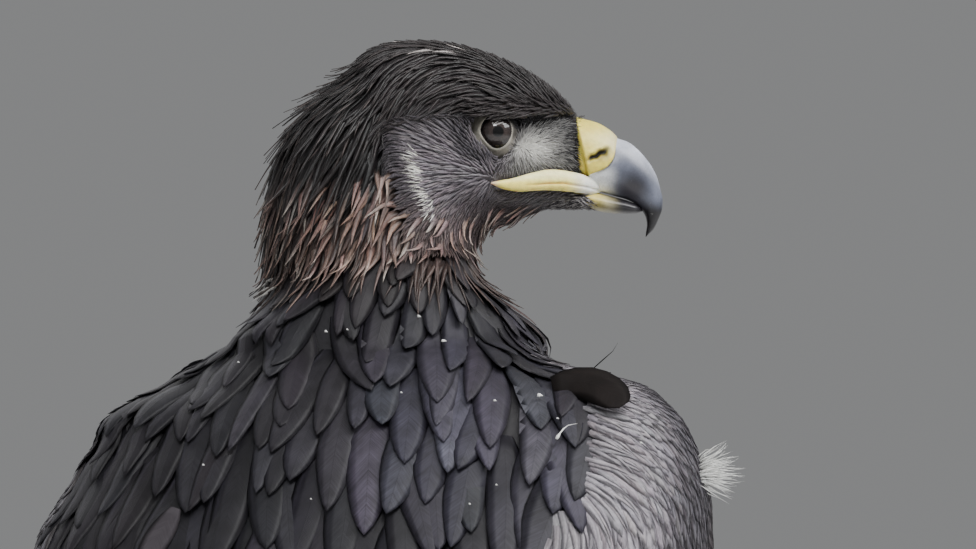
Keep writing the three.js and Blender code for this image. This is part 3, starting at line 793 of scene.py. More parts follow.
def plume_material(name, barb=0.75, streak=0.35, rough=0.5, spec=0.35, sheen=0.25, tint=(0.78, 0.72, 0.95), shaft=0.5, bump=0.06, mottle=0.15):
    """A vane: barbs slanting from the shaft, streaks along them, fine splits and a faint sheen."""
    s = Shader(name)
    uv = s.node("UVMap")
    uv.uv_map = "vane"
    sep = s.node("SeparateXYZ")
    s.link(uv.outputs[0], sep.inputs[0])
    x = s.math("MULTIPLY", s.math("SUBTRACT", sep.outputs[0], 0.5), 100.0)
    y = s.math("MULTIPLY", sep.outputs[1], 100.0)
    ax = s.math("ABSOLUTE", x)
    phase = s.math("SUBTRACT", y, s.math("MULTIPLY", ax, 1.15))
    rnd = s.math("MULTIPLY", s.attr("rnd").outputs["Fac"], 57.0)
    wob = s.noise(s.vec(s.math("MULTIPLY", x, 0.3), s.math("MULTIPLY", y, 0.3), rnd), 1.0, 1.0)
    ph = s.math("ADD", phase, s.math("MULTIPLY", wob, 1.2))
    rib = s.math("SINE", s.math("MULTIPLY", ph, 2 * math.pi / barb))
    st = s.noise(s.vec(s.math("MULTIPLY", ph, 0.85), s.math("MULTIPLY", ax, 0.05), rnd), 1.0, 3.0, 0.7)
    stk = s.ramp(st, 0.3, 0.72, 1 - streak, 1 + streak)
    tone = s.attr("tone")
    mot = s.ramp(s.noise(s.vec(s.math("MULTIPLY", x, 0.12), s.math("MULTIPLY", y, 0.12), rnd), 1.0, 2.0), 0.3, 0.7, 1 - mottle, 1 + mottle)
    k = s.math("MULTIPLY", stk, s.math("MULTIPLY", mot, s.math("ADD", 1.0, s.math("MULTIPLY", rib, 0.09))))
    line = s.ramp(ax, 0.12, 0.42, 1.0, 0.0)
    k = s.math("MULTIPLY", k, s.math("SUBTRACT", 1.0, s.math("MULTIPLY", line, shaft)))
    gray = s.vec(k, k, k)
    col = s.mix("MULTIPLY", 1.0, tone.outputs["Color"], gray)
    s.link(col, s.b.inputs["Base Color"])
    h = s.math("ADD", s.math("MULTIPLY", rib, 0.35), s.math("ADD", s.math("MULTIPLY", st, 1.6), s.math("MULTIPLY", line, 0.5)))
    s.bump(h, bump)
    s.put(Roughness=rough, Specular_IOR_Level=spec, Sheen_Weight=sheen, Sheen_Roughness=0.45)
    s.b.inputs["Sheen Tint"].default_value = (*tint, 1)
    return s.m


M_MANTLE = plume_material("plumage_vane", streak=0.42, rough=0.55, spec=0.28, sheen=0.04, shaft=0.16, mottle=0.28)
M_HEAD = plume_material("head_plumage", barb=0.6, streak=0.45, rough=0.42, spec=0.45, sheen=0.05, tint=(0.9, 0.8, 0.85), shaft=0.25, bump=0.05)
M_FACE = plume_material("face_plumage", barb=0.5, streak=0.3, rough=0.55, spec=0.35, sheen=0.12, tint=(0.85, 0.8, 0.95), shaft=0.0, bump=0.03)
M_WING = plume_material("wing_plumage", rough=0.5, spec=0.4, sheen=0.2, tint=(0.85, 0.82, 0.95), shaft=0.25)
M_FLIGHT = plume_material("flight_vane", barb=0.9, streak=0.3, rough=0.42, spec=0.45, sheen=0.2, shaft=-0.35, bump=0.08)
M_LEG = plume_material("leg_plumage", barb=0.6, streak=0.3, rough=0.6, spec=0.3, sheen=0.2, tint=(0.9, 0.85, 0.8), shaft=0.2, bump=0.05)
M_DARK = plume_material("dark_vane", barb=0.6, streak=0.2, rough=0.75, spec=0.12, sheen=0.0, shaft=0.0, bump=0.03)
M_DOWN = plume_material("down", barb=0.5, streak=0.1, rough=0.7, spec=0.2, sheen=0.5, tint=(1, 1, 1), shaft=0.0, bump=0.02)

s = Shader("bird_skin")
P0 = s.object_mm()
n1 = s.noise(P0, 0.55, 4.0, 0.65)
n2 = s.node("TexVoronoi", Scale=1.1)
s.link(P0, n2.inputs["Vector"])
scale_ = s.attr("scaly").outputs["Fac"]
k = s.ramp(n1, 0.3, 0.7, 0.72, 1.25)
k2 = s.math("SUBTRACT", 1.0, s.math("MULTIPLY", scale_, s.ramp(n2.outputs[0], 0.35, 0.75, 0.0, 0.4)))
kk = s.math("MULTIPLY", k, k2)
s.link(s.mix("MULTIPLY", 1.0, s.attr("tone").outputs["Color"], s.vec(kk, kk, kk)), s.b.inputs["Base Color"])
s.bump(s.math("SUBTRACT", s.math("MULTIPLY", n1, 0.5), s.math("MULTIPLY", scale_, n2.outputs[0])), 0.5, 0.7)
s.put(Roughness=0.55, Specular_IOR_Level=0.35)
M_SKIN = s.m

s = Shader("cere_skin")
P0 = s.object_mm()
n1 = s.noise(P0, 0.35, 4.0, 0.6)
n2 = s.noise(P0, 2.2, 3.0, 0.6)
k = s.math("MULTIPLY", s.ramp(n1, 0.3, 0.72, 0.86, 1.08), s.ramp(n2, 0.25, 0.6, 0.93, 1.03))
s.link(s.mix("MULTIPLY", 1.0, s.attr("tone").outputs["Color"], s.vec(k, k, k)), s.b.inputs["Base Color"])
s.bump(s.math("ADD", s.math("MULTIPLY", n1, 1.0), s.math("MULTIPLY", n2, 0.35)), 0.35, 0.6)
s.put(Roughness=0.42, Specular_IOR_Level=0.5, Subsurface_Weight=0.12, Subsurface_Scale=0.002)
M_CERE = s.m


def horn_material(name, rough, flake):
    s = Shader(name)
    P0 = s.object_mm()
    n1 = s.noise(P0, 0.12, 3.0, 0.6)
    n2 = s.noise(P0, 1.3, 4.0, 0.7)
    n3 = s.noise(P0, 0.75, 5.0, 0.8)
    k = s.math("MULTIPLY", s.ramp(n1, 0.3, 0.7, 0.78, 1.2), s.ramp(n2, 0.3, 0.7, 0.85, 1.12))
    base = s.mix("MULTIPLY", 1.0, s.attr("tone").outputs["Color"], s.vec(k, k, k))
    spot = s.math("MULTIPLY", s.ramp(n3, 0.66, 0.74, 0.0, 1.0), s.attr("scaly").outputs["Fac"])
    col = s.mix("MIX", s.math("MULTIPLY", spot, flake), base, (0.55, 0.55, 0.52, 1))
    s.link(col, s.b.inputs["Base Color"])
    s.link(s.ramp(n2, 0.3, 0.8, rough - 0.06, rough + 0.14), s.b.inputs["Roughness"])
    s.bump(s.math("ADD", s.math("MULTIPLY", n2, 0.4), s.math("MULTIPLY", n1, 0.8)), 0.25, 0.5)
    s.put(Specular_IOR_Level=0.5, Coat_Weight=0.15, Coat_Roughness=0.25)
    return s.m


M_HORN = horn_material("bill_horn", 0.36, 0.8)
M_CLAW = horn_material("claw_horn", 0.34, 0.3)

s = Shader("eye_surface")
P0 = s.object_mm()
n1 = s.noise(P0, 1.1, 3.0, 0.6)
k = s.ramp(n1, 0.3, 0.7, 0.8, 1.25)
s.link(s.mix("MULTIPLY", 1.0, s.attr("tone").outputs["Color"], s.vec(k, k, k)), s.b.inputs["Base Color"])
s.put(Roughness=0.5, Specular_IOR_Level=0.05, Coat_Weight=1.0, Coat_Roughness=0.01, Coat_IOR=1.56)
M_EYE = s.m


# ---------------------------------------------------------------- feathers as solid vanes
TRIS = {}


class Coat:
    """Vanes gathered into pieces under 190,000 triangles each."""

    def __init__(self, name, slot, mat):
        self.name, self.slot, self.mat = name, slot, mat
        self.v, self.f, self.uv, self.ruv, self.tone, self.rnd, self.even = [], [], [], [], [], [], []
        self.n, self.tris, self.made = 0, 0, []

    def add(self, v, quads, vane_uv, place, tone, rnd):
        """v (F, R, P, 3), quads for one vane, place (F, 2) raw unwrap coordinates."""
        F, R, P = v.shape[:3]
        per = R * P
        room = max(1, (186000 - self.tris) // (2 * len(quads)))
        if F > room and self.tris > 0 and room < 60:
            self.flush()
            room = 186000 // (2 * len(quads))
        a = slice(0, min(F, room))
        m = min(F, room)
        self.v.append(v[a].reshape(-1, 3))
        self.f.append((quads[None] + (np.arange(m) * per)[:, None, None]).reshape(-1, 4) + self.n)
        self.uv.append(vane_uv[a].reshape(-1, 2))
        even = (np.arange(len(quads)) % P != 0) & (np.arange(len(quads)) % P != P - 1) & (np.arange(len(quads)) < (R - 1) * P)
        self.even.append(np.tile(even, m))
        g = np.stack(np.broadcast_arrays((np.arange(P) / max(1, P - 1) - 0.5)[None, None], (np.arange(R) / (R - 1) - 0.5)[None, :, None], np.zeros((m, 1, 1)))[:2], -1)
        self.ruv.append((place[a][:, None, None], g))
        self.tone.append(tone[a].reshape(-1, 3))
        self.rnd.append(np.repeat(rnd[a], per))
        self.n += m * per
        self.tris += 2 * len(quads) * m
        if F > m:
            self.flush()
            self.add(v[m:], quads, vane_uv[m:], place[m:], tone[m:], rnd[m:])

    def flush(self):
        if not self.n:
            return
        raw = np.vstack([p.reshape(-1, 2) for p, _ in self.ruv])
        lo_, hi_ = raw.min(0), raw.max(0)
        bake = np.vstack([((p - lo_) / np.maximum(hi_ - lo_, 1e-6) * 0.97 + 0.015 + g * 0.003).reshape(-1, 2) for p, g in self.ruv])
        name = f"{self.name}_{len(self.made) + 1}"
        tone = np.vstack(self.tone)
        ob = mesh_object(name, np.vstack(self.v), np.vstack(self.f), {"OFBake": bake, "vane": np.vstack(self.uv)},
                         {"tone": np.hstack([np.clip(tone, 0, 1), np.ones((len(tone), 1))])}, attrs={"rnd": np.concatenate(self.rnd)})
        ob.data.polygons.foreach_set("use_smooth", np.concatenate(self.even))
        ob.data.update()
        put(ob, self.slot, self.mat)
        TRIS[name] = self.tris
        self.made.append(ob)
        self.v, self.f, self.uv, self.ruv, self.tone, self.rnd, self.even = [], [], [], [], [], [], []
        self.n = self.tris = 0


def lay(p, n, L, K, yaw=None, straight=0.45, cling=0.7, field=flow):
    """Centre lines over the surface, with their normals."""
    yaw = np.zeros(len(p)) if yaw is None else yaw
    d = turn(field(p, n), n, yaw)
    C, N = [p], [n]
    for _ in range(K):
        step = (L / K)[:, None]
        q = p + d * step
        s_, m = nearest(q)
        move = s_ - q
        far = np.maximum(np.linalg.norm(move, axis=1, keepdims=True), 1e-6)
        q = q + move * np.minimum(1, cling * step / far)
        m = unit(m * 0.75 + n * 0.25)
        f = turn(field(s_, m), m, yaw)
        d = unit(d - (d * m).sum(1)[:, None] * m)
        d = unit(d * straight + f * (1 - straight))
        p, n = q, m
        C.append(p)
        N.append(n)
    return np.stack(C, 1), np.stack(N, 1)


def resample(A, s):
    K = A.shape[1] - 1
    x = s * K
    i = np.minimum(x.astype(int), K - 1)
    t = (x - i)[None, :, None]
    # a smooth curve through the marched points
    g = np.gradient(A, axis=1)
    a, b, ga, gb = A[:, i], A[:, i + 1], g[:, i], g[:, i + 1]
    return (1 + 2 * t) * (1 - t) ** 2 * a + t * (1 - t) ** 2 * ga + t * t * (3 - 2 * t) * b + t * t * (t - 1) * gb


def lance(s):
    return np.where(s < 0.4, 0.42 + 0.58 * np.sin(np.pi / 2 * np.clip(s / 0.4, 0, 1)) ** 0.8, np.maximum(0, 1 - np.maximum(0, (s - 0.4) / 0.6) ** 1.75) ** 0.9)


def lance2(s):
    return np.where(s < 0.36, 0.42 + 0.58 * np.sin(np.pi / 2 * np.clip(s / 0.36, 0, 1)) ** 0.8, np.maximum(0, 1 - np.maximum(0, (s - 0.36) / 0.64) ** 1.5))


def spoon(s):
    return np.where(s < 0.5, 0.45 + 0.55 * np.sin(np.pi * np.clip(s, 0, 0.5)) ** 0.8, np.sqrt(np.maximum(0, 1 - np.maximum(0, (s - 0.62) / 0.38) ** 2.4)))


def hair(s):
    return np.maximum(0, 1 - s ** 1.7) ** 0.85 * (0.75 + 0.25 * np.sin(np.pi * np.clip(s * 1.6, 0, 1)))


def quads_of(R, P):
    q = grid_faces(R, P)
    e = (R - 1) * P
    if P == 4:
        caps = [[3, 2, 1, 0], [e, e + 1, e + 2, e + 3]]
    else:
        caps = [[5, 2, 1, 0], [5, 4, 3, 2], [e, e + 1, e + 2, e + 5], [e + 2, e + 3, e + 4, e + 5]]
    return np.vstack([q, np.array(caps)])


def vanes(coat, C, N, L, W, place, base, rings, prof=lance, pts=6, camber=0.12, keel=0.03, thick=0.05, roll=0.0, rise=(0.3, 2.2), lift=0.0,
          notch=0.0, edge=0.12, painted_side_light=0.0, tip=None, tip_mix=0.0, root=0.62, curl=None, jitter=0.12, power=1.0, fade=1.0):
    """Closed vanes on centre lines: C, N (F, K+1, 3), L and W per vane in mm."""
    s = np.asarray(rings, float)
    F, R = len(C), len(s)
    C, N = resample(C, s), unit(resample(N, s))
    h = rise[0] + (rise[1] - rise[0]) * s ** power
    lift = np.broadcast_to(np.asarray(lift, float), (F,))
    C = C + N * (h[None] + lift[:, None] * s[None] ** 2.2)[..., None]
    T = unit(np.gradient(C, axis=1))
    S = unit(np.cross(T, N))
    if curl is not None:
        C = C + S * (curl[:, None] * s[None] ** 2)[..., None]
    N = unit(np.cross(S, T))
    half = (W / 2)[:, None] * np.maximum(prof(s), 0.03)[None]
    wl, wr = half.copy(), half.copy()
    if notch:
        inner = (s > 0.3) & (s < 0.99)
        for w_ in (wl, wr):
            cut = rng.random((F, R)) ** 3 * notch * inner
            w_ *= 1 - cut
    roll = np.broadcast_to(np.asarray(roll, float), (F,))[:, None]
    kl, kr = -camber * wl + roll * wl, -camber * wr - roll * wr
    up_ = (keel * W)[:, None] * np.maximum(prof(s), 0.1)[None] ** 0.5
    E = lambda w_, k_, f_, q_: C + S * (w_ * f_)[..., None] + N * (k_ * q_ + up_ * (1 - abs(f_)) * 0.6)[..., None]
    th = np.minimum(thick * W, 0.9)[:, None] * np.maximum(1 - s, 0.15)[None] ** 0.5
    bottom = C + N * (-th)[..., None]
    if pts == 6:
        v = np.stack([E(wl, kl, 1, 1), E(wl, kl, 0.5, 0.32), C + N * up_[..., None], E(wr, kr, -0.5, 0.32), E(wr, kr, -1, 1), bottom], 2)
        x = np.stack([wl, wl / 2, 0 * wl, -wr / 2, -wr, 0 * wl], 2)
        e, way = np.array([1, 0.2, 0, 0.2, 1, 0.0]), np.array([1, 0.5, 0, -0.5, -1, 0.0])
    else:
        v = np.stack([E(wl, kl, 1, 1), C + N * up_[..., None], E(wr, kr, -1, 1), bottom], 2)
        x = np.stack([wl, 0 * wl, -wr, 0 * wl], 2)
        e, way = np.array([1, 0, 1, 0.0]), np.array([1, 0, -1, 0.0])
    y = np.broadcast_to((L[:, None] * s)[..., None], x.shape)
    vane_uv = np.stack([x / 100 + 0.5, y / 100], -1)
    # painted shade and light: the root factor darkens each vane towards its root, where neighbours overlap it, and the
    # side-light factor lightens one edge and darkens the other, as if lit from one side
    shade = (root + (1 - root) * np.minimum(1, s * 1.5) ** fade)[None, :, None] * (1 + edge * e[None, None] * s[None, :, None]) * (1 + painted_side_light * way[None, None])
    shade = shade * (1 + jitter * (rng.random(F) * 2 - 1))[:, None, None]
    col = np.broadcast_to(base[:, None, None, :], v.shape) * shade[..., None]
    if tip is not None:
        m = np.broadcast_to(np.asarray(tip_mix, float), (F,))[:, None, None] * (ss(0.55, 0.98, s)[None, :, None]) * (0.55 + 0.45 * e[None, None])
        col = col * (1 - m[..., None]) + tip * m[..., None]
    flip = np.arange(pts)[::-1]
    coat.add(v[:, :, flip], quads_of(R, pts), vane_uv[:, :, flip], place, col[:, :, flip], rng.random(F))


def sow(mask, along, across, seed, dense=7.0):
    """Roots spread evenly over the hull where mask holds, closer where the two spacings are small."""
    r = np.random.default_rng(seed)
    quad = HV[HF]
    mid = quad.mean(1)
    q = info(mid)
    m = mask(q)
    ids = np.nonzero(m)[0]
    if not len(ids):
        return np.zeros((0, 3)), np.zeros((0, 3))
    area = 0.5 * np.linalg.norm(np.cross(quad[ids, 2] - quad[ids, 0], quad[ids, 3] - quad[ids, 1]), axis=1)
    qs = {k: v[ids] for k, v in q.items()}
    al = along(qs) if callable(along) else np.full(len(ids), float(along))
    ac = across(qs) if callable(across) else np.full(len(ids), float(across))
    wgt = area / (al * ac)
    M = int(min(wgt.sum() * dense, 90000))
    pick = r.choice(len(ids), M, p=wgt / wgt.sum())
    a, b = r.random((2, M, 1))
    c = quad[ids[pick]]
    P = (c[:, 0] * (1 - a) + c[:, 1] * a) * (1 - b) + (c[:, 3] * (1 - a) + c[:, 2] * a) * b
    P, N = nearest(P)
    D = flow(P, N)
    al, ac = al[pick], ac[pick]
    S = np.cross(D, N)
    cell = max(al.max(), ac.max())
    key = np.floor(P / cell).astype(int)
    grid, keep = {}, []
    Pl, Dl, Sl, kl = P.tolist(), D.tolist(), S.tolist(), key.tolist()
    for i in range(M):
        x, y, z = Pl[i]
        kx, ky, kz = kl[i]
        dx, dy, dz = Dl[i]
        sx, sy, sz = Sl[i]
        ia, ic = 1 / al[i], 1 / ac[i]
        ok = True
        for gx in (kx - 1, kx, kx + 1):
            for gy in (ky - 1, ky, ky + 1):
                for gz in (kz - 1, kz, kz + 1):
                    for j in grid.get((gx, gy, gz), ()):
                        X, Y, W_ = Pl[j]
                        X -= x; Y -= y; W_ -= z
                        e = (X * dx + Y * dy + W_ * dz) * ia
                        f = (X * sx + Y * sy + W_ * sz) * ic
                        g = X * X + Y * Y + W_ * W_
                        if e * e + f * f < 1 and g < cell * cell:
                            ok = False
                            break
                    if not ok:
                        break
                if not ok:
                    break
            if not ok:
                break
        if ok:
            grid.setdefault((kx, ky, kz), []).append(i)
            keep.append(i)
    return P[keep], N[keep]


def place_head(p):
    u, v, w = uvw(p)
    return np.stack([np.degrees(np.arctan2(v, u + 24)) / 180, (w + 10) / 60 + 0.002 * u], -1)


def place_body(p):
    d, ang, side, _ = cloak_of(p)
    return np.stack([side * (90 - ang) / 180, d / 400], -1)


def place_leg(p):
    c = np.where(p[:, 0] > 0, STANCE, -STANCE)
    return np.stack([np.arctan2(p[:, 0] - c, p[:, 1] + 150) / 3.2 + np.sign(p[:, 0]) * 1.05, p[:, 2] / 200], -1)


# ---------------------------------------------------------------- the skin, one surface under the coat
def coat_depth(p):
    u, v, w = uvw(p)
    z = p[:, 2]
    k = ss(30, -50, u) * 3.2 + 0.9 + 1.2 * ss(0, 20, w)
    k = np.where(z > 440, k, 4.2)
    d, ang, side, _ = cloak_of(p)
    k = k * ss(430, 470, z) + 4.6 * (1 - ss(430, 470, z))
    k = k * ss(12, 60, z) + 0.2
    return k


def brow_shape(p):
    """Extra height of the skin: a brow that overhangs, a dent under it and hollow lores."""
    u, v, w = uvw(p)
    brow = 3.0 * bump2(u, w, 8, 12.0, 18, 3.4) + 1.6 * bump2(u, w, 25, 10, 7, 3.4)
    wedge = -3.0 * bump2(u, w, 16, 4.6, 11, 3.2)
    lores = -0.9 * bump2(u, w, 20, -8, 10, 7)
    return (brow + wedge + lores) * ss(8, 16, np.abs(v))


def refine(v, f, where, times):
    """Split quads into four where the test holds."""
    bm = bmesh.new()
    for c in v.tolist():
        bm.verts.new(c)
    bm.verts.ensure_lookup_table()
    bv = list(bm.verts)
    for q in f.tolist():
        bm.faces.new([bv[i] for i in q])
    for k in range(times):
        co = np.array([x.co for x in bm.verts])
        bm.verts.index_update()
        m = where(co, k)
        edges = [e for e in bm.edges if m[e.verts[0].index] and m[e.verts[1].index]]
        bmesh.ops.subdivide_edges(bm, edges=edges, cuts=1, use_grid_fill=True)
        bm.verts.ensure_lookup_table()
    bm.verts.index_update()
    bm.normal_update()
    co = np.array([x.co for x in bm.verts])
    faces = [[x.index for x in q.verts] for q in bm.faces]
    e = np.array([[a.verts[0].index, a.verts[1].index] for a in bm.edges])
    bm.free()
    return co, faces, e


def relax(v, e, times, mask, lam=0.5):
    cnt = np.bincount(e.ravel(), minlength=len(v)).astype(float)[:, None]
    for _ in range(times):
        s_ = np.zeros_like(v)
        for k in range(3):
            s_[:, k] = np.bincount(e[:, 0], v[e[:, 1], k], len(v)) + np.bincount(e[:, 1], v[e[:, 0], k], len(v))
        v = v + lam * (s_ / cnt - v) * mask[:, None]
    return v


def where_fine(p, k):
    u, v, w = uvw(p)
    near = np.minimum(np.linalg.norm(p - EYES[1], axis=1), np.linalg.norm(p - EYES[-1], axis=1))
    face = (u > -22) & (p[:, 2] > 480)
    feet = (p[:, 2] < 24) & (p[:, 1] < -60)
    if k == 0:
        return face | feet
    if k == 1:
        return ((u > -2) & (p[:, 2] > 500) & (np.abs(v) > 8) & (w < 14)) | (feet & (p[:, 2] > 9) & (p[:, 2] < 19.5)) | (near < 19)
    return near < 14.5


SV, SF, SE = refine(HV, HF, where_fine, 3)
m = where_fine(SV, 0) * 1.0
SV = relax(SV, SE, 4, m)
_, SN = nearest(SV)
SV = SV - SN * coat_depth(SV)[:, None] + SN * brow_shape(SV)[:, None]
fine_feet = {}
for sd in (1, -1):
    fv, ff = remesh(feet_forms[sd] + [closed(shank_form(sd, 3.0))], 1.3)
    fv = neighbour_mean(fv, ff, 2)
    fine_feet[sd] = (BVHTree.FromPolygons([tuple(x) for x in fv.tolist()], ff.tolist()), ff, normals_of(fv, ff))
scaly = ss(34, 22, SV[:, 2])
tone = marking(SV) * np.where(SV[:, 2] > 470, np.where(uvw(SV)[0] > -34, 0.95, 0.6), 0.55)[:, None]
lores = ss(3, 8, uvw(SV)[0]) * ss(-21, -17, uvw(SV)[2]) * ss(7, 2, uvw(SV)[2])
for i in np.nonzero(SV[:, 2] < 34)[0]:
    sd = 1 if SV[i, 0] > 0 else -1
    tree, ff, fn = fine_feet[sd]
    loc, _, j, _ = tree.find_nearest(Vector(SV[i]))
    k = float(ss(32, 20, SV[i, 2]))
    nn = unit(fn[ff[j]].sum(0))
    P = np.array(loc)
    out = 0.0
    if nn[2] > -0.2:
        for t in TOES:
            fr, d, r, long, claw = toe_axes(sd, t)
            a = float((P - fr) @ d)
            lat = float(np.linalg.norm((P - fr)[:2] - a * d[:2]))
            if lat < r * 1.15 and a > 9:
                share = a / long
                ridge = abs(math.sin(math.pi * a / (4.6 if share > 0.45 else 3.4)))
                out = max(out, (0.75 * ridge ** 0.6 - 0.35) * float(ss(0.0, 0.5, nn[2])) * float(ss(0.16, 0.5, share)) * float(ss(1.04, 0.95, share)))
    SV[i] = SV[i] * (1 - k) + (P + nn * out) * k
SV[:, 2] = np.maximum(SV[:, 2], 0.05)
tone = mix(tone, rgb(222, 196, 84) * (0.92 + 0.0 * SV), ss(30, 22, SV[:, 2]))
# lids: the skin dives behind the ball inside the opening and stands up as a ring round it
for sd in (1, -1):
    q, a, r = eye_polar(SV, sd)
    ball = np.sqrt(np.maximum(EYE_R ** 2 - r ** 2, 0))
    edge_ = ss(0.93, 1.03, q)
    lid = ball + 0.1 + 0.55 * np.exp(-(((q - 1.15) / 0.15) ** 2)) + 0.3 * np.exp(-(((q - 1.42) / 0.1) ** 2)) - 0.1
    target = (ball - 2.2) * (1 - edge_) + lid * edge_
    wgt = ss(2.05, 1.35, q) * (a > 0) * ss(30, 20, np.linalg.norm(SV - EYES[sd], axis=1))
    SV = SV + GAZE[sd] * ((target - a) * wgt)[:, None]
    u_, _, w_ = uvw(SV)
    ring = ss(1.72, 1.54, q) * (a > 0)
    # painted shade of the brow: the pale lid ring turns dark towards its top
    pale = mix(rgb(176, 170, 158), rgb(34, 30, 31), ss(2.0, 6.0, w_ + 0.3 * u_ - 0.6))
    pale = mix(pale, rgb(30, 27, 28), ss(3.6, 6.6, u_) * ss(-6.5, -1, w_) * 0.9)
    pale = mix(pale, rgb(178, 172, 160), np.exp(-(((q - 1.07) / 0.05) ** 2)) * ss(5, 0, w_) * 0.6)
    tone = mix(tone, pale, ring * (0.35 + 0.65 * ss(0.98, 1.08, q)) * ss(-0.1, 0.1, q - 0.9))
    tone = mix(tone, rgb(30, 26, 28), ss(1.58, 1.68, q) * ss(1.95, 1.75, q) * ss(3, -3, w_) * 0.55 * (a > 0))
    tone = mix(tone, rgb(20, 18, 20), ss(1.02, 0.96, q) * (a > 0))
skin = mesh_object("skin", SV, SF, colours={"tone": np.hstack([np.clip(tone, 0, 1), np.ones((len(tone), 1))])}, attrs={"scaly": scaly})
flesh = ["head", "neck", "trunk"] + [f"{a}_{b}" for a in ("left", "right") for b in ("wing", "thigh", "tarsus", "foot")]
put(skin, "plumage", M_SKIN, *flesh)
TRIS["skin"] = sum(len(f) - 2 for f in SF)
print("skin", TRIS["skin"])

# ---------------------------------------------------------------- bill and cere
# pairs of points on the culmen and on the cutting edge below it
BILL_KEYS = np.array([[24, 8, 24, -20.5], [34, 5.4, 33, -22.3], [41.6, 3.3, 39.5, -23.8], [47, 0.1, 43.5, -25], [49.9, -2.3, 46.2, -25.8], [54.3, -3.9, 49.6, -26.8],
                      [58.8, -7.4, 52.6, -27.6], [62.3, -11.4, 55, -28.5], [65, -15.4, 57, -29.6], [66.8, -19.5, 58.8, -31.2], [68, -23.9, 60.4, -33], [68.9, -28.4, 61.3, -34.4],
                      [68.6, -32, 62, -36.2], [67, -36.4, 62.3, -38.6], [65.3, -40, 62, -41], [62.2, -43.6, 61.4, -43.9]])
BILL_AT = np.concatenate([[0], np.cumsum(np.hypot(*np.diff((BILL_KEYS[:, :2] + BILL_KEYS[:, 2:]) / 2, axis=0).T))])
BILL_AT = BILL_AT / BILL_AT[-1]
BILL_TRACKS = [track(np.stack([BILL_AT, BILL_KEYS[:, k]], 1).tolist()) for k in range(4)]
bill_wide = track([[0, 15.6], [0.13, 14.6], [0.24, 12.8], [0.36, 11], [0.47, 9.4], [0.59, 7.4], [0.7, 5.6], [0.8, 4.1], [0.9, 2.5], [1, 0.8]])


def bill_pt(s_, a, grow=0.0):
    s_, a, grow = np.broadcast_arrays(s_, a, grow)
    ut, wt, ub, wb = (f(s_) for f in BILL_TRACKS)
    c, h = np.cos(a), np.sin(a)
    c = np.sign(c) * np.abs(c) ** np.where(h > 0, 1.12, 0.8)
    r = np.maximum(rounded(s_, 0.02, 0.05), 1e-3)
    mu, mw, hu, hw = (ut + ub) / 2, (wt + wb) / 2, (ut - ub) / 2, (wt - wb) / 2
    tall = np.hypot(hu, hw)
    grow = grow - 3.2 * ss(36.4, 34.2, mu + h * 4.2)
    k = h * (tall + grow) * r / np.maximum(tall, 1e-6)
    return head(mu + hu * k, -c * (bill_wide(s_) + grow) * r, mw + hw * k)


def add_tone(p, fn):
    t = fn(*uvw(p))
    return np.hstack([np.clip(t, 0, 1), np.ones((len(t), 1))])


def horn_tone(u, v, w):
    c = np.broadcast_to(rgb(104, 108, 122), (len(u), 3)).copy()
    # painted highlight: a pale band along the culmen stands in for the reflection of the light above
    c = mix(c, rgb(232, 236, 248), ss(-8.0, 3.0, u * 0.55 + w - 24.5 + 0.9 * np.maximum(0, u - 62)) * 0.74)
    c = mix(c, rgb(246, 248, 248), ss(52, 43, u) * ss(-13, -18, w) * 0.97)
    c = mix(c, rgb(28, 27, 34), bump2(u, w, 56.5, -21.5, 7.2, 6.2) * 0.95)
    c = mix(c, rgb(20, 18, 22), ss(-26, -33, w + 0.12 * (u - 60)) * ss(50, 57, u))
    c = mix(c, rgb(52, 48, 52), ss(-19, -23.5, w) * ss(47, 54, u) * ss(64, 57, u) * 0.75)
    return c


t = np.linspace(0, 1, 130)[:, None]
sb = (1 - np.cos(np.pi * t)) / 2 * 0.6 + t * 0.4
a = np.arange(112)[None] * 2 * np.pi / 112
hv = bill_pt(sb, a)
uu, vv, ww = uvw(hv.reshape(-1, 3))
hv = (hv.reshape(-1, 3) - Lh * (np.sign(vv) * 3.4 * bump2(uu, ww, 42, -9.4, 6.5, 4.5))[:, None]).reshape(hv.shape)
hv, hf = closed(hv)
uu, vv, ww = uvw(hv)
horn = mesh_object("horn_upper", hv, hf, colours={"tone": add_tone(hv, horn_tone)}, attrs={"scaly": ss(-14, -30, ww) * ss(50, 60, uu) + 0.35 * ss(45, 55, uu)})
put(horn, "horn", M_HORN, "upper_bill")

u_edge = track([[-24, 30], [-19.5, 33], [-18.4, 36.5], [-17.2, 38.6], [-16.3, 41.8], [-14.1, 45.6], [-11.4, 47.7], [-8.3, 48.8], [-5.6, 49.1], [-2, 49.8], [2, 50]])
cols = np.arange(176) * 2 * np.pi / 176
ts = np.linspace(0.0, 0.75, 240)
grid = bill_pt(ts[:, None], cols[None])
gu, gv, gw = uvw(grid.reshape(-1, 3))
inside = (gu < u_edge(gw)).reshape(grid.shape[:2])
s_end = ts[np.argmin(inside, 0)]
for _ in range(3):
    s_end = (np.roll(s_end, 1) + s_end + np.roll(s_end, -1)) / 3
s_end = np.maximum(s_end, 0.12)
tt = np.concatenate([np.linspace(0.02, 0.93, 74), [0.955, 0.975, 0.99, 1.0, 1.0, 1.0]])[:, None]
gr = np.concatenate([np.full(74, 0.75), [0.72, 0.62, 0.45, 0.2, -0.4, -1.2]])[:, None]
cv = bill_pt(tt * s_end[None], cols[None], gr)
cu, cvv, cw = uvw(cv.reshape(-1, 3))
nx = (cu - 41.6) * math.cos(0.49) + (cw + 9.4) * math.sin(0.49)
ny = -(cu - 41.6) * math.sin(0.49) + (cw + 9.4) * math.cos(0.49)
ny = ny - 0.25 * np.sin(nx * 1.6)
slit = np.exp(-((nx / 4.6) ** 4) - ((ny / (1.0 + 0.25 * ss(0, 3, nx))) ** 2)) * (np.abs(cvv) > 4)
pit = np.exp(-(((nx - 1.8) / 3.8) ** 2) - (((ny + 1.7) / 2.0) ** 2)) * (np.abs(cvv) > 4)
lip = np.exp(-((nx / 5.2) ** 4) - (((ny - 2.0) / 0.9) ** 2)) * (np.abs(cvv) > 4)
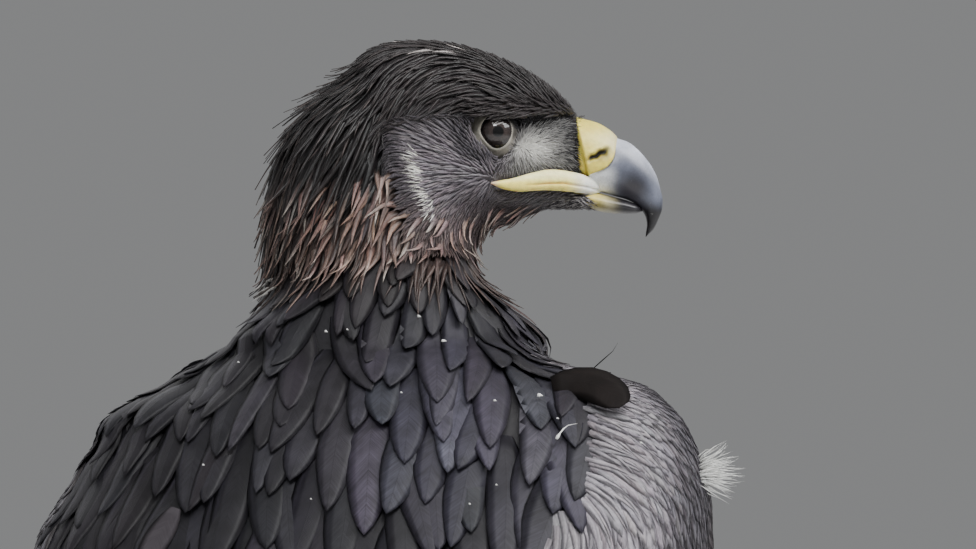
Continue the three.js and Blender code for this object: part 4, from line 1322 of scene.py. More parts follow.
flat = cv.reshape(-1, 3) + Lh[None] * (-np.sign(cvv) * (2.6 * slit + 0.9 * pit - 0.4 * lip))[:, None]
# painted highlight on the top front of the cere
ctone = mix(np.broadcast_to(YELLOW, flat.shape), rgb(236, 228, 164), bump2(cu, cw, 46, -3, 7, 5) * 0.7)
# painted shade in the nostril: an olive-brown pit and a near-black slit stand in for the shade of the hollow
ctone = mix(ctone, rgb(142, 122, 46), np.clip(pit * 0.85, 0, 1))
ctone = mix(ctone, rgb(24, 18, 12), np.clip(slit * 1.5, 0, 1))
# more painted highlight at the cere's front edge
ctone = mix(ctone, rgb(214, 208, 176), bump2(cu, cw, 49, -3, 3.0, 6) * 0.6)
c_v, c_f = closed(flat.reshape(cv.shape))
parts_v, parts_f, parts_t = [c_v], [list(q) for q in c_f], [ctone]
for sd in (1, -1):
    sp = head(*np.array([[-3.2, 30.3, -21.4], [3, 28.4, -22.0], [8, 26.6, -21.9], [14, 23.3, -20.9], [21, 19.8, -20.0], [29, 15.5, -20.6], [34.5, 11.8, -21.5], [39, 7.8, -22.6], [43, 3.2, -24.0]], float).T * np.array([[1], [sd], [1]]))
    cr = Curve(sp)
    sp_t = track([[0, 0.9], [0.14, 2.3], [0.25, 3.3], [0.38, 3.9], [0.54, 4.4], [0.74, 4.1], [0.9, 3.2], [1, 2.0]])
    gv_ = loft(cr, Z, sp_t, track([[0, 1.2], [0.3, 2.1], [0.7, 2.5], [1, 2.0]]), (0.12, 0.1), 56, 110)
    g2, gf = closed(gv_)
    gu, gvv, gw = uvw(g2)
    # the mouth's line runs along the front half
    line = np.interp(gu, [8, 20, 27.5, 37, 46], [-22.6, -21.6, -21.4, -23.0, -25.4])
    cut = np.exp(-(((gw - line) / 0.42) ** 2)) * ss(9, 20, gu)
    g2 = g2 - Lh * (sd * 0.75 * cut)[:, None]
    # painted highlight: the top of the gape flange is paler, where the light from above falls on it
    gt = mix(np.broadcast_to(rgb(255, 236, 122), g2.shape), rgb(255, 248, 182), ss(-21.6, -18.6, gw) * 0.85)
    gt = mix(gt, rgb(226, 190, 176), ss(1.5, -2.5, gu) * 0.8)
    gt = mix(gt, rgb(206, 150, 62), cut * 0.8)
    gt = mix(gt, rgb(236, 236, 226), ss(28, 38, gu))
    o = sum(len(x) for x in parts_v)
    parts_v.append(g2)
    parts_f += [[i + o for i in q] for q in gf]
    parts_t.append(gt)
ct = np.vstack(parts_t)
cere = mesh_object("cere_and_gape", np.vstack(parts_v), parts_f, colours={"tone": np.hstack([np.clip(ct, 0, 1), np.ones((len(ct), 1))])})
put(cere, "yellow_skin", M_CERE, "cere")

lowc = Curve(head(*np.array([[22, 0, -26.6], [29, 0, -27.0], [37, 0, -27.6], [45.6, 0, -29.9], [53.6, 0, -31.2], [60.6, 0, -32.6]], float).T))
lw_t = track([[0, 2.4], [0.35, 3.6], [0.6, 3.6], [0.8, 2.9], [1, 1.3]])
lw_w = track([[0, 4], [0.2, 6.6], [0.4, 9.9], [0.5, 9.8], [0.7, 8.2], [0.9, 6.0], [1, 4.0]])
lv, lf = closed(loft(lowc, Z, lw_t, lw_w, (0.04, 0.1), 72, 90, shape=lambda a_: (np.sign(np.cos(a_)) * np.abs(np.cos(a_)) ** 0.8, np.sin(a_))))


def low_tone(u, v, w):
    c = np.broadcast_to(rgb(214, 196, 104), (len(u), 3)).copy()
    c = mix(c, rgb(132, 124, 74), ss(-27, -31, w) * 0.6)
    c = mix(c, rgb(150, 146, 128), ss(40, 47, u) * 0.7)
    c = mix(c, rgb(36, 34, 38), ss(44.5, 52, u + 0.25 * (w + 29)))
    return c


lu, lvv, lw_ = uvw(lv)
low = mesh_object("horn_lower", lv, lf, colours={"tone": add_tone(lv, low_tone)}, attrs={"scaly": ss(46, 54, lu)})
put(low, "horn", M_HORN, "lower_bill")

# ---------------------------------------------------------------- eyes and claws
def CLAW_TALL(r):
    return track([[0, r * 0.62], [0.3, r * 0.58], [0.7, r * 0.34], [1, 0.5]])


def CLAW_WIDE(r):
    return track([[0, r * 0.5], [0.3, r * 0.46], [0.7, r * 0.28], [1, 0.45]])


for sd, nm in ((1, "left"), (-1, "right")):
    g = GAZE[sd]
    f_ = unit(U - (U @ g) * g)
    t = np.linspace(0, 1, 90)[:, None]
    th = np.pi * (0.35 * t + 0.65 * t * t)
    th[0], th[-1] = 1e-3, np.pi - 1e-3
    a = np.arange(96)[None] * 2 * np.pi / 96
    rho = EYE_R * np.sin(th)
    front = th < np.pi / 2
    r = EYE_R + np.where(front & (rho < 6.6), 0.9 * (1 - (rho / 6.6) ** 2), 0)
    v = EYES[sd] + (f_ * np.cos(a)[..., None] + Z * np.sin(a)[..., None]) * (np.sin(th) * r)[..., None] + g * (np.cos(th) * r + 0 * a)[..., None]
    ray = 1 + 0.13 * np.sin(a * 23 + 1.3) + 0.09 * np.sin(a * 41 + 0.5) + 0 * th
    iris = mix(rgb(50, 42, 40), rgb(34, 28, 27), ss(3.0, 6.0, rho) + 0 * a) * ray[..., None]
    c = mix(iris, rgb(56, 47, 44), bump2(rho + 0 * a, 0, 3.3, 0, 0.7, 1) * 0.4)
    c = mix(c, rgb(3, 3, 4), ss(2.35, 1.95, rho) + 0 * a)
    c = mix(c, rgb(16, 13, 14), ss(5.7, 6.4, rho) + 0 * a)
    c = np.where((front + 0 * a < 1)[..., None], rgb(30, 26, 26), c)
    ev, ef = closed(v)
    ob = mesh_object(nm + "_eyeball", ev, ef, colours={"tone": np.hstack([c.reshape(-1, 3), np.ones((c.size // 3, 1))])})
    put(ob, "eye", M_EYE, nm + "_eye")
    vs, fs, ts_, o = [], [], [], 0
    for toe in TOES:
        fr, d, r0, long, claw = toe_axes(sd, toe)
        sp = [fr + d * (long - 5 + k * claw) + Z * z for k, z in ((0, 8.6), (0.22, 12.6), (0.5, 13.6), (0.78, 9.4), (0.97, 2.4))]
        kv, kf = closed(loft(sp, Z, CLAW_TALL(r0), CLAW_WIDE(r0), (0.08, 0.06), 28, 60))
        vs.append(kv)
        fs += [[i + o for i in q] for q in kf]
        x = (kv - fr) @ d
        ts_.append(mix(np.broadcast_to(rgb(26, 25, 28), kv.shape), rgb(74, 72, 76), ss(long + 8, long - 2, x) * 0.8))
        o += len(kv)
    tn = np.vstack(ts_)
    ob = mesh_object(nm + "_claws", np.vstack(vs), fs, colours={"tone": np.hstack([tn, np.ones((len(tn), 1))])}, attrs={"scaly": np.zeros(len(tn))})
    put(ob, "claw", M_CLAW, *[f"{nm}_{toe}_claw" for toe in TOES])

# ---------------------------------------------------------------- the coat, region by region
R3, R5, R7 = [0, 0.35, 0.72, 1.0], [0, 0.22, 0.45, 0.68, 0.86, 1.0], [0, 0.14, 0.3, 0.46, 0.62, 0.78, 0.9, 1.0]
R9 = [0, 0.12, 0.25, 0.38, 0.51, 0.64, 0.76, 0.86, 0.94, 1.0]


def zones(q):
    u, w = q["u"], q["w"]
    edge_ = np.where((w < 6) & (w > -44), ear_line(w) - 3, -42 - 0.12 * w)
    back = ss(edge_ + 6, edge_ - 6, u + 1.8 * np.sin(w * 1.7) + 1.2 * np.sin(w * 4.1 + q["v"]))
    top = ss(3, 9, w - 0.02 * u + (2.2 * np.sin(u * 1.3) + 1.4 * np.sin(u * 3.7 + 1)) * ss(-12, -24, u))
    low = ss(-38, -58, w)
    return back, top, low


def open_face(p):
    """Keep off the eye's opening, the cere and the mouth's flange."""
    q1, a1, _ = eye_polar(p, 1)
    q2, a2, _ = eye_polar(p, -1)
    u, v, w = uvw(p)
    eye = ((q1 < 1.56) & (a1 > 0)) | ((q2 < 1.56) & (a2 > 0))
    band = (u > 0.5) & (w > -24.8) & (w < -17.2 + 0.08 * np.minimum(u - 8, 12)) & (np.abs(v) > 9)
    cere_ = (u > 35.2 + 0.06 * (w + 10)) & (w > -25)
    under = (u > 39) & (w > -32)
    return ~(eye | band | cere_ | under)


def some(P, N, keep):
    return P[keep], N[keep]


def vary(base, amount, warm=0.04):
    n = len(base)
    k = 1 + amount * (rng.random((n, 1)) * 2 - 1)
    return np.clip(base * k * (1 + warm * (rng.random((n, 3)) * 2 - 1)), 0, 1)


def is_lores(q):
    return is_head(q) & (q["u"] > 3 + 0.2 * q["w"]) & (q["w"] < LORES_TOP(q["u"]) + 2.5) & (q["w"] > -20) & (np.abs(q["v"]) > 8)


# the fine coat of the cheeks and chin
face = Coat("coat_face", "plumage", M_FACE)
P, N = sow(lambda q: is_head(q) & (zones(q)[0] < 0.5) & (zones(q)[1] < 0.5) & (zones(q)[2] < 0.5) & ~is_lores(q), lambda q: 1.3 + 0.4 * ss(0, -30, q["u"]), lambda q: 0.72 + 0.2 * ss(0, -30, q["u"]), 11)
P, N = some(P, N, open_face(P))
u, v, w = uvw(P)
L = (5.0 + 4.5 * ss(16, -36, u)) * (0.85 + 0.3 * rng.random(len(P))) * (0.5 + 0.5 * ss(11, 20, np.hypot(u + 1, w)))
W = (1.2 + 0.85 * ss(10, -36, u)) * (0.85 + 0.3 * rng.random(len(P)))
C, NN = lay(P, N, L, 4, rng.normal(0, 0.09, len(P)))
vanes(face, C, NN, L, W, place_head(P), vary(marking(P), 0.1), R3, hair, 4, camber=0.02, keel=0.03, thick=0.08, rise=(-1.0, 0.1), lift=rng.random(len(P)) ** 2 * 0.3, root=0.86, jitter=0.06, tip=rgb(138, 130, 134), tip_mix=0.1 * rng.random(len(P)) ** 2)
print("face", len(P))

# bristles on the pale lores, fanning out towards the bill
def bristle_flow(p, n):
    u, v, w = uvw(p)
    d = U * (u - 12)[:, None] + Z * (w + 6)[:, None]
    d = d + (U * 9 - Z * 5)[None] * ss(22, 34, u)[:, None] + U[None] * 1.5
    return unit(d - (d * n).sum(1)[:, None] * n)


P, N = sow(is_lores, 0.9, 0.55, 12, 9)
P, N = some(P, N, open_face(P))
u, v, w = uvw(P)
L = (1.9 + 1.1 * rng.random(len(P))) * (1 + 0.9 * ss(26, 34, u))
W = 0.3 + 0.14 * rng.random(len(P))
C, NN = lay(P, N, L, 3, rng.normal(0, 0.22, len(P)), field=bristle_flow, cling=0.4)
# painted shade: bristles above the lores' top, under the brow, are more often dark and darker still
above = ss(-1.5, 1.0, w - LORES_TOP(u))
darkish = rng.random(len(P)) < (0.1 + 0.7 * ss(21, 32, u) + 0.25 * ss(-12, -18, w) + above + 0.5 * ss(10, 5, u) * ss(-8, 0, w))
pale_ = mix(np.broadcast_to(rgb(122, 121, 119), P.shape), rgb(232, 231, 226), bump2(u, w, 15.5, -6.5, 7.5, 5.5))
pale_ = mix(CHEEK, pale_, ss(1, 10, u - 0.35 * (w + 8)))
base = np.where(darkish[:, None], rgb(26, 23, 26) * (1 - 0.5 * above)[:, None], pale_) * (0.75 + 0.4 * rng.random((len(P), 1)))
vanes(face, C, NN, L, W, place_head(P), base, R3, hair, 4, camber=0, keel=0.15, thick=0.3, rise=(-1.0, -0.1), lift=0.2 + 1.2 * rng.random(len(P)) * (0.3 + 0.9 * ss(22, 34, u)), root=0.8)
print("lores", len(P))
n_ = 620
sB, aB = rng.uniform(0.082, 0.128, n_), rng.uniform(-np.pi, np.pi, n_)
aB = np.where(np.sin(aB) < -0.86, aB + np.pi, aB)
P = bill_pt(sB, aB, 0.6)
rad = unit(bill_pt(sB, aB, 3.0) - P + 1e-6)
d_ = unit(U - Z * rng.uniform(0.1, 1.0, n_)[:, None] + Lh * rng.normal(0, 0.15, n_)[:, None])
d_ = unit(d_ - (d_ * rad).sum(1)[:, None] * rad)
L = rng.uniform(2.0, 4.6, n_)
C = P[:, None] + d_[:, None] * (L[:, None] * np.linspace(0, 1, 5))[..., None]
base = np.where((rng.random(n_) < 0.75)[:, None], rgb(24, 21, 24), rgb(128, 124, 122)) * (0.8 + 0.4 * rng.random((n_, 1)))
vanes(face, C, np.repeat(rad[:, None], 5, 1), L, rng.uniform(0.3, 0.55, n_), place_head(P), base, R3, hair, 4, camber=0, keel=0.2, thick=0.3, rise=(-0.3, 0.5), lift=rng.uniform(0, 0.9, n_), root=0.8)
# whitish ends of the ear coverts; the hollow behind them is darkened with painted shade in marking() and on the nape
# hackles
for sd in (1, -1):
    n_ = 170
    w0 = rng.uniform(-34, -9, n_)
    u0 = ear_line(w0) + rng.uniform(3.5, 7.5, n_)
    P, N = nearest(head(u0, sd * 36.0, w0))
    L = rng.uniform(5, 8.5, n_)
    C, NN = lay(P, N, L, 4, rng.normal(0, 0.16, n_), cling=0.4)
    white = (rng.random(n_) < 0.5 * ss(-8, -15, w0) + 0.04)
    vanes(face, C, NN, L, rng.uniform(0.6, 1.1, n_), place_head(P), vary(np.where(white[:, None], rgb(240, 237, 228), CHEEK), 0.12), R3, hair, 4, keel=0.15, thick=0.14, rise=(-0.9, 0.7), lift=rng.uniform(0.2, 1.6, n_), root=0.22, curl=rng.normal(-0.8 * sd, 0.8, n_))
    # fur of the chin, over the root of the lower jaw
    n_ = 640
    u0, an = rng.uniform(23, 38.5, n_), np.radians(rng.uniform(-205, 25, n_))
    u0 = np.where(rng.random(n_) < 0.25, rng.uniform(34, 38, n_), u0) - 2.5 * ss(-30, 10, np.degrees(an)) - 2.5 * ss(-150, -190, np.degrees(an))
    rad = unit(head(0 * an, np.cos(an) * 4.4, np.sin(an) * 10.4) - HEAD0)
    P = head(u0, 10.2 * np.cos(an), -27.4 + 4.0 * np.sin(an)) - rad * 0.4
    L = rng.uniform(3.2, 6.0, n_)
    d_ = unit(-U * np.where(rng.random(n_) < 0.2, -0.5, 1.0)[:, None] - Z * rng.uniform(0.0, 0.5, n_)[:, None] + Lh * rng.normal(0, 0.12, n_)[:, None])
    d_ = unit(d_ - (d_ * rad).sum(1)[:, None] * rad * 0.8)
    C = P[:, None] + d_[:, None] * (L[:, None] * np.linspace(0, 1, 5))[..., None]
    grey = rng.random(n_) < 0.55
    base = np.where(grey[:, None], rgb(178, 174, 172), rgb(58, 54, 56)) * (0.7 + 0.5 * rng.random((n_, 1)))
    vanes(face, C, np.repeat(rad[:, None], 5, 1), L, rng.uniform(0.5, 0.95, n_), place_head(P), base, R3, hair, 4, camber=0, keel=0.2, thick=0.3, rise=(0.0, 0.5), lift=rng.uniform(0, 0.7, n_), root=0.8)
face.flush()

# crown and brow
crown_coat = Coat("coat_crown", "plumage", M_HEAD)
P, N = sow(lambda q: is_head(q) & (zones(q)[0] < 0.5) & (zones(q)[1] >= 0.5), lambda q: 2.0 + 1.6 * ss(30, -20, q["u"]), lambda q: 1.05 + 0.65 * ss(30, -20, q["u"]), 13)
P, N = some(P, N, open_face(P))
u, v, w = uvw(P)
t = ss(34, -36, u)
L = (6.5 + 15 * t) * (0.85 + 0.3 * rng.random(len(P)))
W = (1.7 + 1.9 * t) * (0.75 + 0.5 * rng.random(len(P)))
C, NN = lay(P, N, L, 5, rng.normal(0, 0.1, len(P)))
base = vary(marking(P), 0.5, 0.08)
pale = (bump2(u, w, -24, 37, 3.4, 2.4) * (v < 4) * (v > -24) + bump2(u, w, -9, 32.5, 3.2, 2.2) * (v < 2) * (v > -26)) > 0.6
base = np.where((pale & (rng.random(len(P)) < 0.4))[:, None], rgb(186, 178, 174), base)
vanes(crown_coat, C, NN, L, W, place_head(P), base, R5, hair, 4, camber=0.05, keel=0.14, thick=0.12, rise=(-1.9, -0.1), lift=rng.random(len(P)) ** 2 * 0.7, root=0.16, tip=rgb(122, 110, 108), tip_mix=0.42 * rng.random(len(P)) ** 1.5, roll=0.1)
# the brow's own fringe, hanging over the eye
side_mask = lambda q: is_head(q) & (q["u"] > -9) & (q["u"] < 31) & (q["w"] > 7.0) & (q["w"] < 14) & (np.abs(q["v"]) > 9)
P, N = sow(side_mask, 1.5, 0.8, 14)
u, v, w = uvw(P)
L = (6.5 + 3.5 * rng.random(len(P)))
W = 1.5 + 0.5 * rng.random(len(P))


def brow_flow(p, n):
    u, v, w = uvw(p)
    d = -U * (1.0 + 0 * u)[:, None] - Z * (0.1 - 0.3 * ss(8.5, 13, w) * ss(-6, 20, u))[:, None]
    return unit(d - (d * n).sum(1)[:, None] * n)


C, NN = lay(P, N, L, 4, rng.normal(0, 0.1, len(P)), field=brow_flow, cling=0.3)
shelf = ss(12, 7.5, w) * ss(-9, -2, u)
C = C + N[:, None] * (1.7 * shelf)[:, None, None]
vanes(crown_coat, C, NN, L, W, place_head(P), vary(np.broadcast_to(rgb(40, 34, 34), P.shape), 0.3), R3, hair, 4, keel=0.12, thick=0.14, rise=(-0.4, 1.2), lift=0.2 + 1.0 * rng.random(len(P)), root=0.7, tip=rgb(110, 99, 97), tip_mix=0.3 * rng.random(len(P)))
crown_coat.flush()
print("crown", len(P))

# hackles of the nape and sides of the neck
nape = Coat("coat_nape", "nape", M_HEAD)
P, N = sow(lambda q: is_head(q) & (q["z"] > 498) & (zones(q)[0] >= 0.5), lambda q: 3.6 + 2.6 * ss(30, -25, q["w"]), lambda q: 1.8 + 0.7 * ss(30, -25, q["w"]), 15)
u, v, w = uvw(P)
t = ss(34, -12, w)
L = (22 + 20 * t) * (0.85 + 0.3 * rng.random(len(P)))
W = (3.0 + 1.7 * t) * (0.75 + 0.5 * rng.random(len(P)))
C, NN = lay(P, N, L, 7, rng.normal(0, 0.13, len(P)), cling=0.6)
base = vary(marking(P), 0.55, 0.08)
um, _, wm = uvw(C[:, 3])
# painted shade: hackles in the hollow behind the ear coverts are darkened
hollow = np.maximum(np.exp(-(((u - ear_line(w) + 8.5) / 5.5) ** 2)) * ss(-44, -36, w) * ss(8, -4, w), np.exp(-(((um - ear_line(wm) + 8) / 6.5) ** 2)) * ss(-44, -36, wm) * ss(6, -6, wm))
base = base * (0.8 - 0.68 * hollow)[:, None]
u5, _, w5 = uvw(C[:, 5])
low_ = ss(-36, -48, w5) * ss(-92, -74, u5)
base = mix(base, rgb(140, 110, 98), low_ * 0.45 * rng.random(len(P)))
lift = rng.random(len(P)) ** 3 * 6.0 * (1 - 0.8 * hollow) + 0.6 * low_
tips = rng.random(len(P))
tipc = np.where((rng.random(len(P)) < 0.12)[:, None], rgb(214, 206, 198), mix(np.broadcast_to(rgb(106, 90, 85), P.shape), rgb(188, 158, 144), low_))[:, None, None, :]
vanes(nape, C, NN, L, W, place_head(P), base, R7, hair, 6, camber=0.05, keel=0.14, thick=0.1, rise=(-3.6, 0.0), lift=lift, root=0.08, tip=tipc, tip_mix=(0.05 + 0.8 * tips ** np.where(low_ > 0.4, 1.5, 3.0)) * (1 - hollow), roll=0.15, curl=rng.normal(0, 1.2, len(P)), notch=0.3)
print("nape", len(P))
# collar: the last hackles, splayed over the mantle
P, N = sow(lambda q: (q["z"] > 491) & (q["z"] < 518) & ((zones(q)[0] >= 0.5) | (q["z"] < 503)), 5.5, 2.4, 16)
u, v, w = uvw(P)
L = (16 + 11 * rng.random(len(P)))
W = 3.0 + 2.6 * rng.random(len(P))
front = ss(-18, 4, u)
L = L * (1 - 0.3 * front)
C, NN = lay(P, N, L, 7, rng.normal(0, 0.2, len(P)), cling=0.9, straight=0.35)
u5, _, w5 = uvw(C[:, 5])
warm_ = ss(-92, -68, u5) * ss(-74, -60, w5)
base = vary(mix(marking(P, False), rgb(164, 132, 120), (0.1 + 0.8 * rng.random(len(P))) * (0.25 + 0.75 * warm_)), 0.35, 0.08)
tipc = np.where((rng.random(len(P)) < 0.34)[:, None], rgb(232, 224, 212), rgb(168, 140, 128))[:, None, None, :]
vanes(nape, C, NN, L, W, place_head(P), base, R7, hair, 6, camber=0.05, keel=0.14, thick=0.1, rise=(-3.0, 1.4), lift=rng.random(len(P)) ** 2 * 5.0 * (1 - 0.7 * front), root=0.05, tip=tipc, tip_mix=0.2 + 0.8 * rng.random(len(P)) ** 2, roll=0.1, curl=rng.normal(0, 2.4, len(P)), notch=0.3)
print("collar", len(P))
# throat and front of the neck
P, N = sow(lambda q: is_head(q) & (zones(q)[0] < 0.5) & (zones(q)[2] >= 0.5), 3.8, 1.7, 17)
P, N = some(P, N, open_face(P))
u, v, w = uvw(P)
t = ss(-36, -62, w)
L = (15 + 16 * t) * (0.85 + 0.3 * rng.random(len(P)))
W = (2.0 + 1.8 * t) * (0.85 + 0.3 * rng.random(len(P)))
C, NN = lay(P, N, L, 5, rng.normal(0, 0.12, len(P)), cling=0.9)
vanes(nape, C, NN, L, W, place_head(P), vary(marking(P) * 0.8, 0.3), R5, hair, 4, keel=0.12, thick=0.1, rise=(-2.4, 0.3), lift=rng.random(len(P)) ** 2 * 1.2, root=0.45, tip=rgb(110, 96, 92), tip_mix=0.4 * rng.random(len(P)), roll=0.1)
nape.flush()
print("throat", len(P))

# mantle, scapulars and back
mantle = Coat("coat_mantle", "plumage", M_MANTLE)


def petal(s):
    return np.where(s < 0.42, 0.42 + 0.58 * np.sin(np.pi / 2 * np.clip(s / 0.42, 0, 1)) ** 0.8, np.maximum(0, 1 - np.maximum(0, (s - 0.42) / 0.58) ** 2.1) ** 0.72)


def back_size(q):
    return ss(85, 165, q["d"])


def is_mantle(q):
    body = (q["z"] <= 493) & ~is_leg(q) & ~is_shank(q)
    return body & (q["ang"] > np.maximum(cover_top(q["d"], q["side"]) - 2, 8 + 0 * q["d"]))


P, N = sow(is_mantle, lambda q: 9.0 + 6 * ss(490, 455, q["z"]) + 4 * ss(30, 80, q["d"]) + 7 * back_size(q), lambda q: 5.0 + 1.8 * ss(490, 455, q["z"]) + 1.4 * ss(30, 80, q["d"]) + 3.4 * back_size(q), 21)
q = info(P)
bs = back_size(q)
sz = ss(492, 452, q["z"])
L = (28 + 20 * sz + 15 * ss(20, 80, q["d"]) + 30 * bs) * (0.85 + 0.3 * rng.random(len(P)))
W = (10.5 + 4.5 * sz + 3.2 * ss(20, 80, q["d"]) + 6.5 * bs) * (0.85 + 0.3 * rng.random(len(P)))
far_right = (q["side"] < 0) * ss(88, 125, q["d"])
W = W * (1 + 0.3 * far_right)
L = L * (0.85 + 0.3 * rng.random(len(P)))
W = W * (0.85 + 0.3 * rng.random(len(P)))
C, NN = lay(P, N, L, 8, rng.normal(0, 0.17, len(P)), straight=0.6, cling=0.5)
C = C + NN * rng.uniform(-0.5, 0.3, len(P))[:, None, None]
q5 = info(C[:, 5])
keep = ~(is_wing(q5) & (q5["side"] < 0) & (q5["d"] < 150) & (q5["ang"] < cover_top(q5["d"], q5["side"]) - 5))
P, C, NN, L, W = P[keep], C[keep], NN[keep], L[keep], W[keep]
q = {name: x[keep] for name, x in q.items()}
# painted sheen: a lighter bluish patch on the right side of the mantle stands in for the gloss where the light catches
# it
painted_sheen = (q["side"] < 0) * bump2(q["d"], q["ang"], 52, 66, 34, 20)
base = vary(mix(marking(C[:, 5], False), rgb(66, 64, 76), 0.8 * painted_sheen), 0.42, 0.06)
# the mantle vanes get painted side light, lighter on their left edges and darker on their right
vanes(mantle, C, NN, L, W, place_body(P), base, R9, petal, 6, camber=0.1, keel=0.03, thick=0.02, rise=(-3.6, 0.1), lift=rng.random(len(P)) ** 2 * 0.6, root=0.4, edge=0.0, painted_side_light=0.34, roll=0.08 + rng.normal(0, 0.012, len(P)), notch=0.08, jitter=0.14, fade=0.9, curl=rng.normal(0, 2.2, len(P)))
print("mantle", len(P))
mantle.flush()

# breast, belly and flanks
under = Coat("coat_under", "plumage", M_MANTLE)
P, N = sow(lambda q: (q["z"] <= 490) & ~is_leg(q) & ~is_shank(q) & ~is_wing(q) & ~is_mantle(q) & (q["z"] > 30), lambda q: 8.5 + 3.5 * ss(490, 450, q["z"]) + 4 * ss(200, 330, q["d"]), lambda q: 4.2 + 1.8 * ss(490, 450, q["z"]) + 2.5 * ss(200, 330, q["d"]), 22)
q = info(P)
sz = ss(490, 450, q["z"])
L = (24 + 16 * sz + 20 * ss(200, 330, q["d"])) * (0.88 + 0.24 * rng.random(len(P)))
W = (7.5 + 4 * sz + 5 * ss(200, 330, q["d"])) * (0.88 + 0.24 * rng.random(len(P)))
C, NN = lay(P, N, L, 7, rng.normal(0, 0.09, len(P)), straight=0.5, cling=0.5)
vanes(under, C, NN, L, W, place_body(P), vary(marking(P), 0.22, 0.06), R7, lance, 6, camber=0.1, keel=0.03, thick=0.03, rise=(-3.2, 0.6), lift=rng.random(len(P)) * 1.3, root=0.5, edge=0.25, roll=rng.normal(0, 0.08, len(P)), notch=0.2, tip=rgb(104, 90, 84), tip_mix=0.3 * rng.random(len(P)))
print("under", len(P))
under.flush()

# legs
legs = Coat("coat_legs", "shank_feathers", M_LEG)
P, N = sow(is_leg, lambda q: 7.5 + 3.5 * ss(90, 180, q["z"]), lambda q: 4.6 + 2.4 * ss(90, 180, q["z"]), 23)
z = P[:, 2]
L = (28 + 15 * ss(80, 180, z)) * (0.88 + 0.24 * rng.random(len(P)))
W = (8 + 4 * ss(80, 180, z)) * (0.88 + 0.24 * rng.random(len(P)))
C, NN = lay(P, N, L, 6, rng.normal(0, 0.1, len(P)), straight=0.5, cling=0.6)
keep = C[:, -1, 2] > 40
vanes(legs, C[keep], NN[keep], L[keep], W[keep], place_leg(P[keep]), vary(marking(P[keep]), 0.2, 0.06), R5, lance, 6, camber=0.1, keel=0.03, thick=0.03, rise=(-2.8, 0.5), lift=rng.random(keep.sum()) * 1.4, root=0.55, edge=0.2, roll=rng.normal(0, 0.08, keep.sum()), notch=0.2, tip=rgb(128, 112, 100), tip_mix=0.3 * rng.random(keep.sum()))
print("thighs", len(P))
P, N = sow(lambda q: is_shank(q) & (q["z"] > 17), 4.0, 2.5, 24)
L = (11 + 5 * rng.random(len(P))) * (0.7 + 0.3 * ss(20, 50, P[:, 2]))
W = 3.4 + 1.2 * rng.random(len(P))
C, NN = lay(P, N, L, 4, rng.normal(0, 0.12, len(P)), cling=0.7)
base = vary(mix(marking(P), rgb(150, 134, 118), 0.25), 0.2, 0.06)
vanes(legs, C, NN, L, W, place_leg(P), base, R3, lance, 4, keel=0.08, thick=0.08, rise=(-1.6, 0.4), lift=rng.random(len(P)) * 0.8, root=0.6, tip=rgb(168, 152, 134), tip_mix=0.4 * rng.random(len(P)))
legs.flush()
print("shanks", len(P))

# ---------------------------------------------------------------- wings
def wing_roots(d, ang, side):
    d, ang = np.asarray(d, float), np.asarray(ang, float)
    p = cloak(d, np.radians(ang), 4 + bend(d, np.radians(ang)), side)
    return nearest(p)


def wing_flow(p, n):
    d, ang, side, i = cloak_of(p)
    v = AXT[i].copy()
    v[:, 2] -= 0.28 * ss(110, 20, d)
    v[:, 0] -= side * 0.12 * ss(60, 200, d)
    us, zs, _ = seen(p)
    arc = unit(U * (zs - 354.6)[:, None] - Z * (us - 32.0)[:, None])
    k = ((side < 0) * ss(150, 95, d) * ss(-14, 10, ang))[:, None] * 0.85
    v = unit(v) * (1 - k) + arc * k
    return unit(v - (v * n).sum(1)[:, None] * n)


